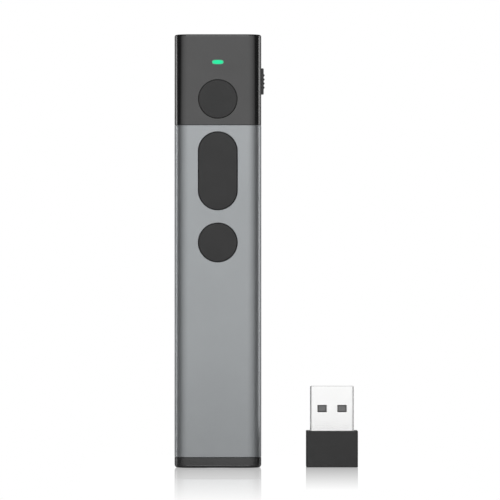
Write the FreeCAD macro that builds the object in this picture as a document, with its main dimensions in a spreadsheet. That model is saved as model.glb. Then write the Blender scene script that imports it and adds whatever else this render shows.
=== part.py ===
import FreeCAD, Part
import os
import types

import Sketcher

# A pocket presentation clicker and its plug-in receiver, in millimetres.
# X runs across the front, Y from the front to the back, and Z up from the foot of the end cap.

# Driving dimensions, each written once
SIZES = {
    # Casing
    "body_width": 23.8,
    "body_depth": 13.0,
    "profile_radius": 4.0,
    "cap_height": 2.9,
    "tube_length": 90.9,
    "head_height": 24.8,
    "tube_wall": 1.1,
    "head_wall": 1.2,
    "head_roof": 1.6,
    "tube_bevel": 0.12,
    "seam_bevel": 0.12,
    "window_bevel": 0.08,
    "head_edge": 0.5,
    "cap_edge": 0.8,
    # Fits
    "seat_fit": 0.15,
    "spigot_fit": 0.1,
    "slip_fit": 0.05,
    "snug_fit": 0.03,
    "end_play": 0.3,
    # Keys
    "key_window": 10.8,
    "page_window_length": 21.5,
    "key_gap": 0.1,
    "key_proud": 0.25,
    "key_edge": 0.3,
    "laser_key_space": 1.7,
    "page_key_space": 1.8,
    "lower_key_space": 3.45,
    "key_plate": 0.7,
    "hook_thick": 0.55,
    "hook_reach": 0.35,
    "hook_width": 2.4,
    "pivot_radius": 0.4,
    "pivot_setback": 0.2,
    # Key mat and contact domes
    "dome_height": 1.3,
    "dome_foot_radius": 2.9,
    "dome_top_radius": 1.9,
    "dome_cavity_radius": 2.2,
    "dome_cavity_depth": 0.8,
    "pip_radius": 0.7,
    "pip_drop": 0.2,
    "mat_side": 0.2,
    "mat_thick": 0.4,
    "mat_margin": 5.5,
    "page_dome_reach": 7.0,
    "contact_radius": 1.9,
    "contact_top_radius": 0.9,
    "contact_height": 0.3,
    "contact_thick": 0.08,
    # Status light
    "light_width": 3.2,
    "light_height": 1.2,
    "light_drop": 7.6,
    "light_gap": 0.15,
    "led_width": 1.6,
    "led_height": 0.8,
    "led_thick": 0.6,
    # Power slider and its switch
    "knob_length": 7.1,
    "knob_width": 3.8,
    "knob_proud": 0.66,
    "knob_edge": 0.2,
    "slot_rise": 6.05,
    "knob_travel": 2.4,
    "knob_gap": 0.1,
    "flange_thick": 0.65,
    "flange_width": 5.0,
    "flange_lap": 0.3,
    "ridge_count": 4,
    "ridge_pitch": 1.115,
    "ridge_width": 0.5,
    "ridge_proud": 0.25,
    "ridge_inset": 0.2,
    "prong_thick": 0.8,
    "lever_width": 1.4,
    "lever_thick": 0.8,
    "lever_overlap": 0.75,
    "switch_length": 6.6,
    "switch_width": 2.7,
    "switch_thick": 1.4,
    "switch_wall": 0.25,
    "switch_gap": 1.0,
    # Circuit board and what it carries
    "board_thick": 0.8,
    "board_wall": 1.25,
    "board_fit": 0.1,
    "radio_chip_side": 5.0,
    "charger_chip_side": 3.0,
    "chip_thick": 0.9,
    "crystal_width": 3.2,
    "crystal_height": 2.5,
    "crystal_thick": 0.8,
    "antenna_width": 2.0,
    "antenna_length": 7.0,
    "antenna_margin": 2.5,
    "capacitor_count": 5,
    "capacitor_width": 0.8,
    "capacitor_length": 1.6,
    "capacitor_pitch": 2.4,
    "electronics_room": 22.5,
    "chip_space": 2.0,
    "crystal_edge": 0.7,
    "charger_edge": 0.9,
    # Carrier
    "carrier_plate": 0.8,
    "carrier_wall": 2.15,
    "rib_thick": 3.0,
    "saddle_width": 8.0,
    "saddle_thick": 1.2,
    "saddle_spacing": 5.0,
    "lug_width": 3.0,
    "lug_height": 1.5,
    "lug_proud": 0.3,
    "lug_rise": 0.8,
    # Battery
    "cell_room": 1.75,
    "cell_flat": 0.6,
    "cell_fit": 0.1,
    "tape_thick": 0.2,
    "tab_width": 2.0,
    "tab_thick": 0.15,
    "tab_from_axis": 4.0,
    "tab_lap": 1.5,
    # Laser module
    "barrel_room": 0.325,
    "barrel_length": 10.0,
    "barrel_gap": 0.4,
    "bore_wall": 1.55,
    "socket_wall": 1.1,
    "diode_length": 2.0,
    "lens_wall": 0.9,
    "lens_thick": 1.2,
    "lens_curve": 3.2,
    "lens_seat": 1.6,
    "aperture_radius": 1.6,
    "aperture_bevel": 0.4,
    "pane_radius": 2.4,
    "pane_thick": 0.6,
    "driver_width": 4.4,
    "driver_length": 5.0,
    "driver_thick": 0.8,
    "pin_radius": 0.25,
    "pin_inset": 0.45,
    # Screws
    "screw_radius": 0.6,
    "screw_length": 9.0,
    "screw_head_radius": 1.1,
    "screw_head_height": 0.7,
    "screw_play": 0.1,
    "screw_sink": 0.15,
    "recess_width": 0.28,
    "recess_length": 1.3,
    "recess_depth": 0.4,
    "board_screw_length": 4.0,
    # Receiver
    "receiver_offset": 31.3,
    "cover_rim": 1.1,
    "cover_height": 10.0,
    "cover_corner": 0.5,
    "cover_edge": 0.2,
    "cover_floor": 1.0,
    "plug_width": 12.0,
    "plug_depth": 4.5,
    "plug_length": 12.2,
    "plug_metal": 0.3,
    "plug_corner": 0.6,
    "plug_buried": 5.8,
    "slot_width": 2.55,
    "slot_height": 1.97,
    "slot_spacing": 5.47,
    "plug_slot_rise": 6.1,
    "tongue_thick": 1.9,
    "tongue_setback": 0.5,
    "block_length": 3.5,
    "finger_width": 1.0,
    "finger_thick": 0.2,
    "finger_inner": 1.0,
    "finger_outer": 3.5,
    "finger_setback": 0.8,
    "receiver_board_side": 0.4,
    "receiver_board_thick": 0.8,
    "receiver_board_length": 5.7,
    "receiver_chip_side": 3.0,
    "receiver_chip_thick": 0.75,
    "receiver_crystal_width": 2.0,
    "receiver_crystal_height": 1.6,
    "receiver_crystal_thick": 0.5,
    # Receiver bay, charging port and magnets
    "bay_fit": 0.35,
    "bay_spare": 0.5,
    "bay_wall": 0.9,
    "bay_roof": 1.0,
    "bay_corner": 0.7,
    "bay_bevel": 0.3,
    "notch_width": 6.0,
    "notch_height": 1.4,
    "cap_spigot": 3.0,
    "port_width": 8.94,
    "port_depth": 3.26,
    "port_corner": 1.45,
    "port_length": 7.35,
    "port_metal": 0.3,
    "port_fit": 0.1,
    "port_tongue_width": 6.65,
    "port_tongue_thick": 0.7,
    "port_tongue_setback": 1.2,
    "port_base": 2.0,
    "magnet_radius": 1.3,
    "magnet_height": 2.0,
    "magnet_space": 0.2,
    "magnet_setback": 1.2,
    "cup_wall": 0.4,
    "cup_height": 1.4,
}


class Size:
    """A number from the sheet, or worked out from it, with the expression that gives it."""

    def __init__(self, value, text):
        self.value = value
        self.text = text

    def __add__(self, other):
        return Size(self.value + value_of(other), f"({self.text} + {text_of(other)})")

    def __radd__(self, other):
        return Size(value_of(other) + self.value, f"({text_of(other)} + {self.text})")

    def __sub__(self, other):
        return Size(self.value - value_of(other), f"({self.text} - {text_of(other)})")

    def __rsub__(self, other):
        return Size(value_of(other) - self.value, f"({text_of(other)} - {self.text})")

    def __mul__(self, other):
        return Size(self.value * value_of(other), f"({self.text} * {text_of(other)})")

    __rmul__ = __mul__

    def __truediv__(self, other):
        return Size(self.value / value_of(other), f"({self.text} / {text_of(other)})")

    def __neg__(self):
        return Size(-self.value, f"(-{self.text})")


def value_of(size):
    return size.value if isinstance(size, Size) else float(size)


def text_of(size):
    return size.text if isinstance(size, Size) else repr(float(size))


def larger(one, other):
    return Size(max(one.value, other.value), f"max({one.text}; {other.text})")


def make_sheet():
    """Writes the driving dimensions to the sheet and returns them as sizes."""
    sheet = doc.addObject("Spreadsheet::Sheet", "Sizes")
    sizes = {}
    for row, (alias, number) in enumerate(SIZES.items(), start=1):
        sheet.set(f"A{row}", alias)
        sheet.set(f"B{row}", str(number))
        sheet.setAlias(f"B{row}", alias)
        sizes[alias] = Size(float(number), f"Sizes.{alias}")
    doc.recompute()
    return types.SimpleNamespace(**sizes)


doc = FreeCAD.newDocument("clicker")
s = make_sheet()
nodes = []

# Levels and widths that several pieces share
half_width = s.body_width / 2
half_depth = s.body_depth / 2
tube_foot = s.cap_height
head_foot = tube_foot + s.tube_length
clicker_top = head_foot + s.head_height
roof_level = clicker_top - s.head_roof
head_inside = half_width - s.head_wall

cover_width = s.plug_width + 2 * s.cover_rim
cover_depth = s.plug_depth + 2 * s.cover_rim
bay_width = cover_width + 2 * s.bay_fit
bay_depth = cover_depth + 2 * s.bay_fit
bay_length = s.cover_height + s.plug_length + s.bay_spare
sleeve_width = bay_width + 2 * s.bay_wall
sleeve_depth = bay_depth + 2 * s.bay_wall
sleeve_top = bay_length + s.bay_roof
spigot_top = s.cap_height + s.cap_spigot

carrier_margin = larger(s.tube_wall, s.head_wall) + s.seat_fit
carrier_width = s.body_width - 2 * carrier_margin
carrier_depth = s.body_depth - 2 * carrier_margin
carrier_radius = s.profile_radius - carrier_margin
carrier_foot = spigot_top + s.spigot_fit
carrier_top = roof_level - s.end_play
plate_front = carrier_depth / 2 - s.carrier_plate
frame_front = -(carrier_depth / 2)
frame_back = frame_front + s.key_plate
key_back = frame_back + s.hook_thick
board_front = key_back + s.dome_height
board_back = board_front + s.board_thick
board_foot = sleeve_top + s.end_play
board_top = carrier_top - s.end_play
cell_slot = carrier_width - 2 * s.carrier_wall
board_slot = carrier_width - 2 * s.board_wall
board_width = board_slot - 2 * s.board_fit
mat_width = s.key_window + 2 * s.mat_side
board_screw_across = (mat_width + board_slot) / 4  # midway from the mat to the wall

laser_key_level = head_foot + s.laser_key_space + s.key_window / 2
page_key_level = head_foot - s.page_key_space - s.page_window_length / 2
page_window_foot = page_key_level - s.page_window_length / 2
lower_key_level = page_window_foot - s.lower_key_space - s.key_window / 2
light_level = clicker_top - s.light_drop
pivot_depth = frame_back + s.pivot_setback

laser_depth = (board_back + plate_front) / 2
barrel_radius = (plate_front - board_back) / 2 - s.barrel_room
barrel_bore = barrel_radius - s.bore_wall
diode_radius = barrel_radius - s.socket_wall
lens_radius = barrel_radius - s.lens_wall
pin_from_axis = diode_radius - s.pin_inset
barrel_top = roof_level - s.barrel_gap
barrel_foot = barrel_top - s.barrel_length
driver_foot = barrel_foot - s.driver_length

port_foot = bay_length + s.port_fit
port_top = port_foot + s.port_length
low_rib_foot = port_top + s.end_play
low_rib_top = low_rib_foot + s.rib_thick
high_rib_top = driver_foot - s.electronics_room
high_rib_foot = high_rib_top - s.rib_thick
cell_foot = low_rib_top + s.end_play
cell_top = high_rib_foot - s.end_play
cell_back = plate_front - s.tape_thick
cell_thick = cell_back - board_back - s.cell_room
cell_front = cell_back - cell_thick
cell_width = cell_slot - 2 * s.cell_fit
cell_corner = cell_thick / 2 - s.cell_flat
rib_levels = [low_rib_foot + s.rib_thick / 2, high_rib_foot + s.rib_thick / 2]

slot_foot = head_foot + s.slot_rise
knob_level = slot_foot + s.knob_gap + s.knob_travel + s.knob_length / 2
slot_top = knob_level + s.knob_length / 2 + s.knob_gap
flange_outside = head_inside - s.slip_fit
flange_inside = flange_outside - s.flange_thick
flange_top = slot_top + s.flange_lap + s.knob_travel
flange_foot = slot_foot - s.flange_lap
lever_depth = board_back + s.switch_thick / 2
switch_face = flange_inside - s.switch_gap
switch_start = switch_face - s.switch_width
prong_reach = s.switch_gap - s.seat_fit
screw_from_axis = (sleeve_width / 2 + s.seat_fit + carrier_width / 2) / 2
screw_tip = s.screw_sink + s.screw_head_height + s.screw_length
cup_radius = s.magnet_radius + s.snug_fit + s.cup_wall
magnet_from_axis = s.port_width / 2 + s.magnet_space + cup_radius
cup_slot = larger(cell_slot, 2 * (magnet_from_axis + cup_radius + s.seat_fit))


# Sketches, each tied to the sheet
def fix(sketch, kind, target, size):
    """Adds a dimension to the sketch and ties it to its expression."""
    index = sketch.addConstraint(Sketcher.Constraint(kind, *target, value_of(size)))
    if isinstance(size, Size):
        sketch.setExpression(f"Constraints[{index}]", size.text)


def sketch_on(body, plane, level):
    """Starts a sketch on one of the body's planes, moved along the plane's normal to a level."""
    sketch = body.newObject("Sketcher::SketchObject", "Sketch")
    support = [f for f in body.Origin.OriginFeatures if f.Role == plane + "_Plane"]
    sketch.AttachmentSupport = [(support[0], "")]
    sketch.MapMode = "FlatFace"
    if isinstance(level, Size):
        sketch.setExpression("AttachmentOffset.Base.z", level.text)
    return sketch


def add_line(sketch, x1, y1, x2, y2):
    start, end = FreeCAD.Vector(x1, y1, 0), FreeCAD.Vector(x2, y2, 0)
    return sketch.addGeometry(Part.LineSegment(start, end), False)


def add_arc(sketch, x, y, radius, first, last):
    """Adds an arc, with its angles in quarter turns."""
    quarter = 1.5707963267948966
    full = Part.Circle(FreeCAD.Vector(x, y, 0), FreeCAD.Vector(0, 0, 1), radius)
    return sketch.addGeometry(Part.ArcOfCircle(full, first * quarter, last * quarter), False)


def add_circle(sketch, x, y, radius):
    centre = FreeCAD.Vector(value_of(x), value_of(y), 0)
    circle = Part.Circle(centre, FreeCAD.Vector(0, 0, 1), value_of(radius))
    index = sketch.addGeometry(circle, False)
    fix(sketch, "DistanceX", (-1, 1, index, 3), x)
    fix(sketch, "DistanceY", (-1, 1, index, 3), y)
    fix(sketch, "Radius", (index,), radius)


def add_rectangle(sketch, x, y, wide, high):
    """Adds a rectangle centred on (x, y)."""
    left, right = x - wide / 2, x + wide / 2
    low, high = y - high / 2, y + high / 2
    x1, x2, y1, y2 = (value_of(edge) for edge in (left, right, low, high))
    bottom = add_line(sketch, x1, y1, x2, y1)
    side = add_line(sketch, x2, y1, x2, y2)
    roof = add_line(sketch, x2, y2, x1, y2)
    wall = add_line(sketch, x1, y2, x1, y1)
    for one, other in ((bottom, side), (side, roof), (roof, wall), (wall, bottom)):
        sketch.addConstraint(Sketcher.Constraint("Coincident", one, 2, other, 1))
    for level in (bottom, roof):
        sketch.addConstraint(Sketcher.Constraint("Horizontal", level))
    for upright in (side, wall):
        sketch.addConstraint(Sketcher.Constraint("Vertical", upright))
    fix(sketch, "DistanceX", (-1, 1, wall, 1), left)
    fix(sketch, "DistanceX", (-1, 1, side, 1), right)
    fix(sketch, "DistanceY", (-1, 1, bottom, 1), low)
    fix(sketch, "DistanceY", (-1, 1, roof, 1), high)


def add_rounded(sketch, x, y, wide, high, radius):
    """Adds a rectangle with round corners, centred on (x, y)."""
    left, right = x - wide / 2, x + wide / 2
    low, high = y - high / 2, y + high / 2
    x1, x2, y1, y2 = (value_of(edge) for edge in (left, right, low, high))
    r = value_of(radius)
    bottom = add_line(sketch, x1 + r, y1, x2 - r, y1)
    low_right = add_arc(sketch, x2 - r, y1 + r, r, -1, 0)
    side = add_line(sketch, x2, y1 + r, x2, y2 - r)
    high_right = add_arc(sketch, x2 - r, y2 - r, r, 0, 1)
    roof = add_line(sketch, x2 - r, y2, x1 + r, y2)
    high_left = add_arc(sketch, x1 + r, y2 - r, r, 1, 2)
    wall = add_line(sketch, x1, y2 - r, x1, y1 + r)
    low_left = add_arc(sketch, x1 + r, y1 + r, r, 2, 3)
    ring = [bottom, low_right, side, high_right, roof, high_left, wall, low_left]
    for one, other in zip(ring, ring[1:] + ring[:1]):
        sketch.addConstraint(Sketcher.Constraint("Tangent", one, 2, other, 1))
    for level in (bottom, roof):
        sketch.addConstraint(Sketcher.Constraint("Horizontal", level))
    for upright in (side, wall):
        sketch.addConstraint(Sketcher.Constraint("Vertical", upright))
    for corner in (high_right, high_left, low_left):
        sketch.addConstraint(Sketcher.Constraint("Equal", low_right, corner))
    fix(sketch, "Radius", (low_right,), radius)
    fix(sketch, "DistanceX", (-1, 1, wall, 1), left)
    fix(sketch, "DistanceX", (-1, 1, side, 1), right)
    fix(sketch, "DistanceY", (-1, 1, bottom, 1), low)
    fix(sketch, "DistanceY", (-1, 1, roof, 1), high)


def add_upright_slot(sketch, x, y, wide, high):
    """Adds an upright slot with half-round ends, centred on (x, y)."""
    reach = (high - wide) / 2
    r, half = value_of(wide) / 2, value_of(reach)
    cx, cy = value_of(x), value_of(y)
    crown = add_arc(sketch, cx, cy + half, r, 0, 2)
    wall = add_line(sketch, cx - r, cy + half, cx - r, cy - half)
    foot = add_arc(sketch, cx, cy - half, r, 2, 4)
    side = add_line(sketch, cx + r, cy - half, cx + r, cy + half)
    tie_slot(sketch, [crown, wall, foot, side], wide / 2)
    fix(sketch, "DistanceX", (-1, 1, crown, 3), x)
    fix(sketch, "DistanceX", (-1, 1, foot, 3), x)
    fix(sketch, "DistanceY", (-1, 1, crown, 3), y + reach)
    fix(sketch, "DistanceY", (-1, 1, foot, 3), y - reach)


def add_level_slot(sketch, x, y, wide, high):
    """Adds a level slot with half-round ends, centred on (x, y)."""
    reach = (wide - high) / 2
    r, half = value_of(high) / 2, value_of(reach)
    cx, cy = value_of(x), value_of(y)
    near = add_arc(sketch, cx - half, cy, r, 1, 3)
    foot = add_line(sketch, cx - half, cy - r, cx + half, cy - r)
    far = add_arc(sketch, cx + half, cy, r, 3, 5)
    crown = add_line(sketch, cx + half, cy + r, cx - half, cy + r)
    tie_slot(sketch, [near, foot, far, crown], high / 2)
    fix(sketch, "DistanceX", (-1, 1, near, 3), x - reach)
    fix(sketch, "DistanceX", (-1, 1, far, 3), x + reach)
    fix(sketch, "DistanceY", (-1, 1, near, 3), y)
    fix(sketch, "DistanceY", (-1, 1, far, 3), y)


def tie_slot(sketch, ring, radius):
    for one, other in zip(ring, ring[1:] + ring[:1]):
        sketch.addConstraint(Sketcher.Constraint("Tangent", one, 2, other, 1))
    sketch.addConstraint(Sketcher.Constraint("Equal", ring[0], ring[2]))
    fix(sketch, "Radius", (ring[0],), radius)


# Features of a body
def new_body(label):
    body = doc.addObject("PartDesign::Body", label)
    body.Label = label
    nodes.append(body)
    return body


def pad(body, sketch, length):
    """Builds up from the sketch along its plane's normal: up, forwards or to the right."""
    feature = body.newObject("PartDesign::Pad", "Pad")
    feature.Profile = sketch
    feature.setExpression("Length", text_of(length))
    doc.recompute()
    return feature


def pocket(body, sketch, length):
    """Cuts from the sketch against its plane's normal: down, backwards or to the left."""
    before = body.Shape.Volume
    feature = body.newObject("PartDesign::Pocket", "Pocket")
    feature.Profile = sketch
    feature.setExpression("Length", text_of(length))
    doc.recompute()
    if not body.Shape.Volume < before:
        raise RuntimeError(f"a pocket in {body.Label} cuts nothing")
    return feature


def edges_of(body, wanted):
    """Names of the edges of the body's last feature that pass the test."""
    shape = body.Tip.Shape
    return [f"Edge{i}" for i, edge in enumerate(shape.Edges, start=1) if wanted(edge)]


def dress(body, kind, prop, size, wanted):
    names = edges_of(body, wanted)
    if not names:
        raise RuntimeError(f"no edge to dress on {body.Label}")
    base = body.Tip
    feature = body.newObject("PartDesign::" + kind, kind)
    feature.Base = (base, names)
    feature.setExpression(prop, size.text)
    doc.recompute()
    return feature


def round_edges(body, radius, wanted):
    return dress(body, "Fillet", "Radius", radius, wanted)


def bevel_edges(body, width, wanted):
    return dress(body, "Chamfer", "Size", width, wanted)


NEAR = 1e-4


def same(one, other):
    return abs(one - value_of(other)) < NEAR


def at_height(edge, level):
    return same(edge.BoundBox.ZMin, level) and same(edge.BoundBox.ZMax, level)


def at_depth(edge, level):
    return same(edge.BoundBox.YMin, level) and same(edge.BoundBox.YMax, level)


def within(edge, reach):
    """Whether the edge stays within a distance of the middle, across the front."""
    limit = value_of(reach) + NEAR
    return edge.BoundBox.XMax < limit and edge.BoundBox.XMin > -limit


def on_outline(edge, wide, deep):
    """Whether every end of the edge lies on the outline of that width and depth."""
    return all(
        same(abs(end.X), wide / 2) or same(abs(end.Y), deep / 2) for end in edge.Vertexes
    )


# Plain shapes, for the pieces made of blocks and rods
def place(thing, x, y, z):
    for axis, size in (("x", x), ("y", y), ("z", z)):
        thing.setExpression(f"Placement.Base.{axis}", text_of(size))


def block(x, y, z, wide, deep, high):
    """A box that starts at y and z and is centred on x."""
    box = doc.addObject("Part::Box", "Block")
    box.setExpression("Length", text_of(wide))
    box.setExpression("Width", text_of(deep))
    box.setExpression("Height", text_of(high))
    place(box, x - wide / 2, y, z)
    return box


def rod(x, y, z, radius, length, turn=None):
    """A cylinder from a point upwards, or along another way if it is turned."""
    cylinder = doc.addObject("Part::Cylinder", "Rod")
    cylinder.setExpression("Radius", text_of(radius))
    cylinder.setExpression("Height", text_of(length))
    if turn:
        cylinder.Placement = FreeCAD.Placement(FreeCAD.Vector(), turn)
    place(cylinder, x, y, z)
    return cylinder


def frustum(x, y, z, foot_radius, top_radius, height):
    """A cone cut short, whose top faces the front."""
    cone = doc.addObject("Part::Cone", "Frustum")
    cone.setExpression("Radius1", text_of(foot_radius))
    cone.setExpression("Radius2", text_of(top_radius))
    cone.setExpression("Height", text_of(height))
    cone.Placement = FreeCAD.Placement(FreeCAD.Vector(), TO_FRONT)
    place(cone, x, y, z)
    return cone


def cut(base, *tools):
    for tool in tools:
        result = doc.addObject("Part::Cut", "Cut")
        result.Base = base
        result.Tool = tool
        base = result
    return base


def fuse(*pieces):
    result = doc.addObject("Part::MultiFuse", "Fuse")
    result.Shapes = list(pieces)
    return result


def group(*pieces):
    result = doc.addObject("Part::Compound", "Group")
    result.Links = list(pieces)
    return result


def name(thing, label):
    """Gives a finished piece its label, which names its file."""
    thing.Label = label
    nodes.append(thing)
    return thing


TO_FRONT = FreeCAD.Rotation(FreeCAD.Vector(1, 0, 0), 90)
TO_BACK = FreeCAD.Rotation(FreeCAD.Vector(1, 0, 0), -90)
TO_RIGHT = FreeCAD.Rotation(FreeCAD.Vector(0, 1, 0), 90)


# Casing
def make_body_tube():
    body = new_body("body_tube")
    outline = sketch_on(body, "XY", tube_foot)
    add_rounded(outline, 0, 0, s.body_width, s.body_depth, s.profile_radius)
    pad(body, outline, s.tube_length)
    hollow = sketch_on(body, "XY", head_foot)
    inside_width = s.body_width - 2 * s.tube_wall
    inside_depth = s.body_depth - 2 * s.tube_wall
    add_rounded(hollow, 0, 0, inside_width, inside_depth, s.profile_radius - s.tube_wall)
    pocket(body, hollow, s.tube_length)
    windows = sketch_on(body, "XZ", half_depth)
    add_upright_slot(windows, 0, page_key_level, s.key_window, s.page_window_length)
    add_circle(windows, 0, lower_key_level, s.key_window / 2)
    pocket(body, windows, 1.5 * s.tube_wall)
    bevel_edges(body, s.window_bevel, at_key_window)
    bevel_edges(body, s.tube_bevel, at_tube_end)


def at_key_window(edge):
    return at_depth(edge, -half_depth) and within(edge, s.key_window / 2)


def at_tube_end(edge):
    at_end = at_height(edge, tube_foot) or at_height(edge, head_foot)
    return at_end and on_outline(edge, s.body_width, s.body_depth)


def make_head_shell():
    body = new_body("head_shell")
    outline = sketch_on(body, "XY", head_foot)
    add_rounded(outline, 0, 0, s.body_width, s.body_depth, s.profile_radius)
    pad(body, outline, s.head_height)
    round_edges(body, s.head_edge, at_head_top)
    hollow = sketch_on(body, "XY", roof_level)
    inside_width = s.body_width - 2 * s.head_wall
    inside_depth = s.body_depth - 2 * s.head_wall
    add_rounded(hollow, 0, 0, inside_width, inside_depth, s.profile_radius - s.head_wall)
    pocket(body, hollow, s.head_height - s.head_roof)
    windows = sketch_on(body, "XZ", half_depth)
    add_circle(windows, 0, laser_key_level, s.key_window / 2)
    add_level_slot(windows, 0, light_level, s.light_width, s.light_height)
    pocket(body, windows, 1.5 * s.head_wall)
    slider_slot = sketch_on(body, "YZ", half_width)
    slot_width = s.knob_width + 2 * s.knob_gap
    slot_middle = (slot_top + slot_foot) / 2
    add_rectangle(slider_slot, 0, slot_middle, slot_width, slot_top - slot_foot)
    pocket(body, slider_slot, 1.5 * s.head_wall)
    catch_depth = s.lug_proud + s.seat_fit
    catches = sketch_on(body, "YZ", head_inside + catch_depth)
    lug_level = head_foot + s.lug_rise + s.lug_height / 2
    add_rectangle(
        catches, 0, lug_level, s.lug_width + 2 * s.spigot_fit, s.lug_height + 2 * s.spigot_fit
    )
    pocket(body, catches, 2 * (head_inside + catch_depth))
    pane_seat = sketch_on(body, "XY", roof_level + s.pane_thick)
    add_circle(pane_seat, 0, laser_depth, s.pane_radius + s.snug_fit)
    pocket(body, pane_seat, s.pane_thick)
    aperture = sketch_on(body, "XY", clicker_top)
    add_circle(aperture, 0, laser_depth, s.aperture_radius)
    pocket(body, aperture, s.head_roof)
    bevel_edges(body, s.aperture_bevel, at_aperture)
    bevel_edges(body, s.seam_bevel, at_head_foot)


def at_head_top(edge):
    return at_height(edge, clicker_top)


def at_aperture(edge):
    return at_height(edge, clicker_top) and within(edge, s.aperture_radius)


def at_head_foot(edge):
    return at_height(edge, head_foot) and on_outline(edge, s.body_width, s.body_depth)


def make_end_cap():
    body = new_body("end_cap")
    outline = sketch_on(body, "XY", 0)
    add_rounded(outline, 0, 0, s.body_width, s.body_depth, s.profile_radius)
    pad(body, outline, s.cap_height)
    round_edges(body, s.cap_edge, lambda edge: at_height(edge, 0))
    bevel_edges(body, s.seam_bevel, lambda edge: at_height(edge, s.cap_height))
    inset = s.tube_wall + s.spigot_fit
    spigot = sketch_on(body, "XY", s.cap_height)
    add_rounded(
        spigot, 0, 0, s.body_width - 2 * inset, s.body_depth - 2 * inset, s.profile_radius - inset
    )
    pad(body, spigot, s.cap_spigot)
    sleeve = sketch_on(body, "XY", s.cap_height)
    add_rounded(sleeve, 0, 0, sleeve_width, sleeve_depth, s.bay_corner + s.bay_wall)
    pad(body, sleeve, sleeve_top - s.cap_height)
    bay = sketch_on(body, "XY", bay_length)
    add_rounded(bay, 0, 0, bay_width, bay_depth, s.bay_corner)
    pocket(body, bay, bay_length)
    bevel_edges(body, s.bay_bevel, at_bay_mouth)
    notch = sketch_on(body, "XY", s.notch_height)
    notch_depth = (s.body_depth - bay_depth) / 2 + s.bay_fit
    notch_middle = half_depth - notch_depth / 2
    add_rectangle(notch, 0, notch_middle, s.notch_width, notch_depth)
    pocket(body, notch, s.notch_height)
    port_hole = sketch_on(body, "XY", sleeve_top)
    port_depth = board_back + s.port_depth / 2
    hole_width = s.port_width + 2 * s.port_fit
    hole_depth = s.port_depth + 2 * s.port_fit
    add_rounded(port_hole, 0, port_depth, hole_width, hole_depth, s.port_corner + s.port_fit)
    pocket(body, port_hole, s.bay_roof)
    add_magnet_cups(body)
    holes = sketch_on(body, "XY", spigot_top)
    for side in (-1, 1):
        add_circle(holes, side * screw_from_axis, 0, s.screw_radius + s.screw_play)
    pocket(body, holes, spigot_top)
    sinks = sketch_on(body, "XY", s.screw_sink + s.screw_head_height)
    for side in (-1, 1):
        add_circle(sinks, side * screw_from_axis, 0, s.screw_head_radius + s.screw_play)
    pocket(body, sinks, s.screw_sink + s.screw_head_height)


def at_bay_mouth(edge):
    return at_height(edge, 0) and within(edge, bay_width / 2)


def add_magnet_cups(body):
    cups = sketch_on(body, "XY", sleeve_top)
    for side in (-1, 1):
        place_x = side * magnet_from_axis
        add_circle(cups, place_x, s.magnet_setback, cup_radius)
    pad(body, cups, s.cup_height)
    wells = sketch_on(body, "XY", sleeve_top + s.cup_height)
    for side in (-1, 1):
        place_x = side * magnet_from_axis
        add_circle(wells, place_x, s.magnet_setback, s.magnet_radius + s.snug_fit)
    pocket(body, wells, s.cup_height)


# Carrier, which holds everything inside
def cut_trough(body, wide, front, back, foot, top):
    """Cuts a straight-sided hollow out of the carrier, between two depths and two levels."""
    outline = sketch_on(body, "XY", top)
    add_rectangle(outline, 0, (front + back) / 2, wide, back - front)
    pocket(body, outline, top - foot)


def make_carrier():
    body = new_body("carrier")
    outline = sketch_on(body, "XY", carrier_foot)
    add_rounded(outline, 0, 0, carrier_width, carrier_depth, carrier_radius)
    pad(body, outline, carrier_top - carrier_foot)
    past = carrier_depth
    cut_trough(body, 2 * carrier_width, -past, frame_back, carrier_foot, carrier_top)
    cut_trough(body, board_slot, frame_back, board_back, carrier_foot, carrier_top)
    sleeve_slot = sleeve_width + 2 * s.seat_fit
    cut_trough(body, sleeve_slot, -past, past, carrier_foot, board_foot)
    cut_trough(body, cup_slot, board_back, plate_front, board_foot, low_rib_foot)
    cut_trough(body, cell_slot, board_back, plate_front, low_rib_top, high_rib_foot)
    cut_trough(body, cell_slot, board_back, plate_front, high_rib_top, carrier_top)
    add_saddles(body)
    cut_slider_notch(body)
    add_lugs(body)
    pilots = sketch_on(body, "XY", screw_tip + s.end_play)
    for side in (-1, 1):
        add_circle(pilots, side * screw_from_axis, 0, s.screw_radius + s.snug_fit)
    pocket(body, pilots, screw_tip + s.end_play - carrier_foot)
    board_pilots = sketch_on(body, "XZ", -board_back)
    for level in rib_levels:
        for side in (-1, 1):
            across = side * board_screw_across
            add_circle(board_pilots, across, level, s.screw_radius + s.snug_fit)
    pocket(body, board_pilots, s.board_screw_length)


def add_saddles(body):
    """Adds the two cradles that carry the laser's barrel."""
    middle = barrel_foot + s.barrel_length / 2
    for side in (-1, 1):
        foot = middle + side * (s.saddle_spacing / 2) - s.saddle_thick / 2
        saddle = sketch_on(body, "XY", foot)
        deep = plate_front - laser_depth
        add_rectangle(saddle, 0, laser_depth + deep / 2, s.saddle_width, deep)
        pad(body, saddle, s.saddle_thick)
    seat = sketch_on(body, "XY", barrel_top)
    add_circle(seat, 0, laser_depth, barrel_radius + s.snug_fit)
    pocket(body, seat, s.barrel_length)


def cut_slider_notch(body):
    """Cuts the side wall away where the slider's flange and the switch lie."""
    notch = sketch_on(body, "YZ", half_width)
    foot = flange_foot - s.knob_travel - s.seat_fit
    top = flange_top + s.seat_fit
    wide = s.flange_width + 2 * s.seat_fit
    add_rectangle(notch, 0, (foot + top) / 2, wide, top - foot)
    pocket(body, notch, half_width - cell_slot / 2)


def add_lugs(body):
    """Adds a catch on each side, which the head snaps over."""
    lug_level = head_foot + s.lug_rise + s.lug_height / 2
    root = carrier_width / 2 - s.lug_proud
    for level in (root, -(carrier_width / 2 + s.lug_proud)):
        lug = sketch_on(body, "YZ", level)
        add_rectangle(lug, 0, lug_level, s.lug_width, s.lug_height)
        pad(body, lug, 2 * s.lug_proud)


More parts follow.
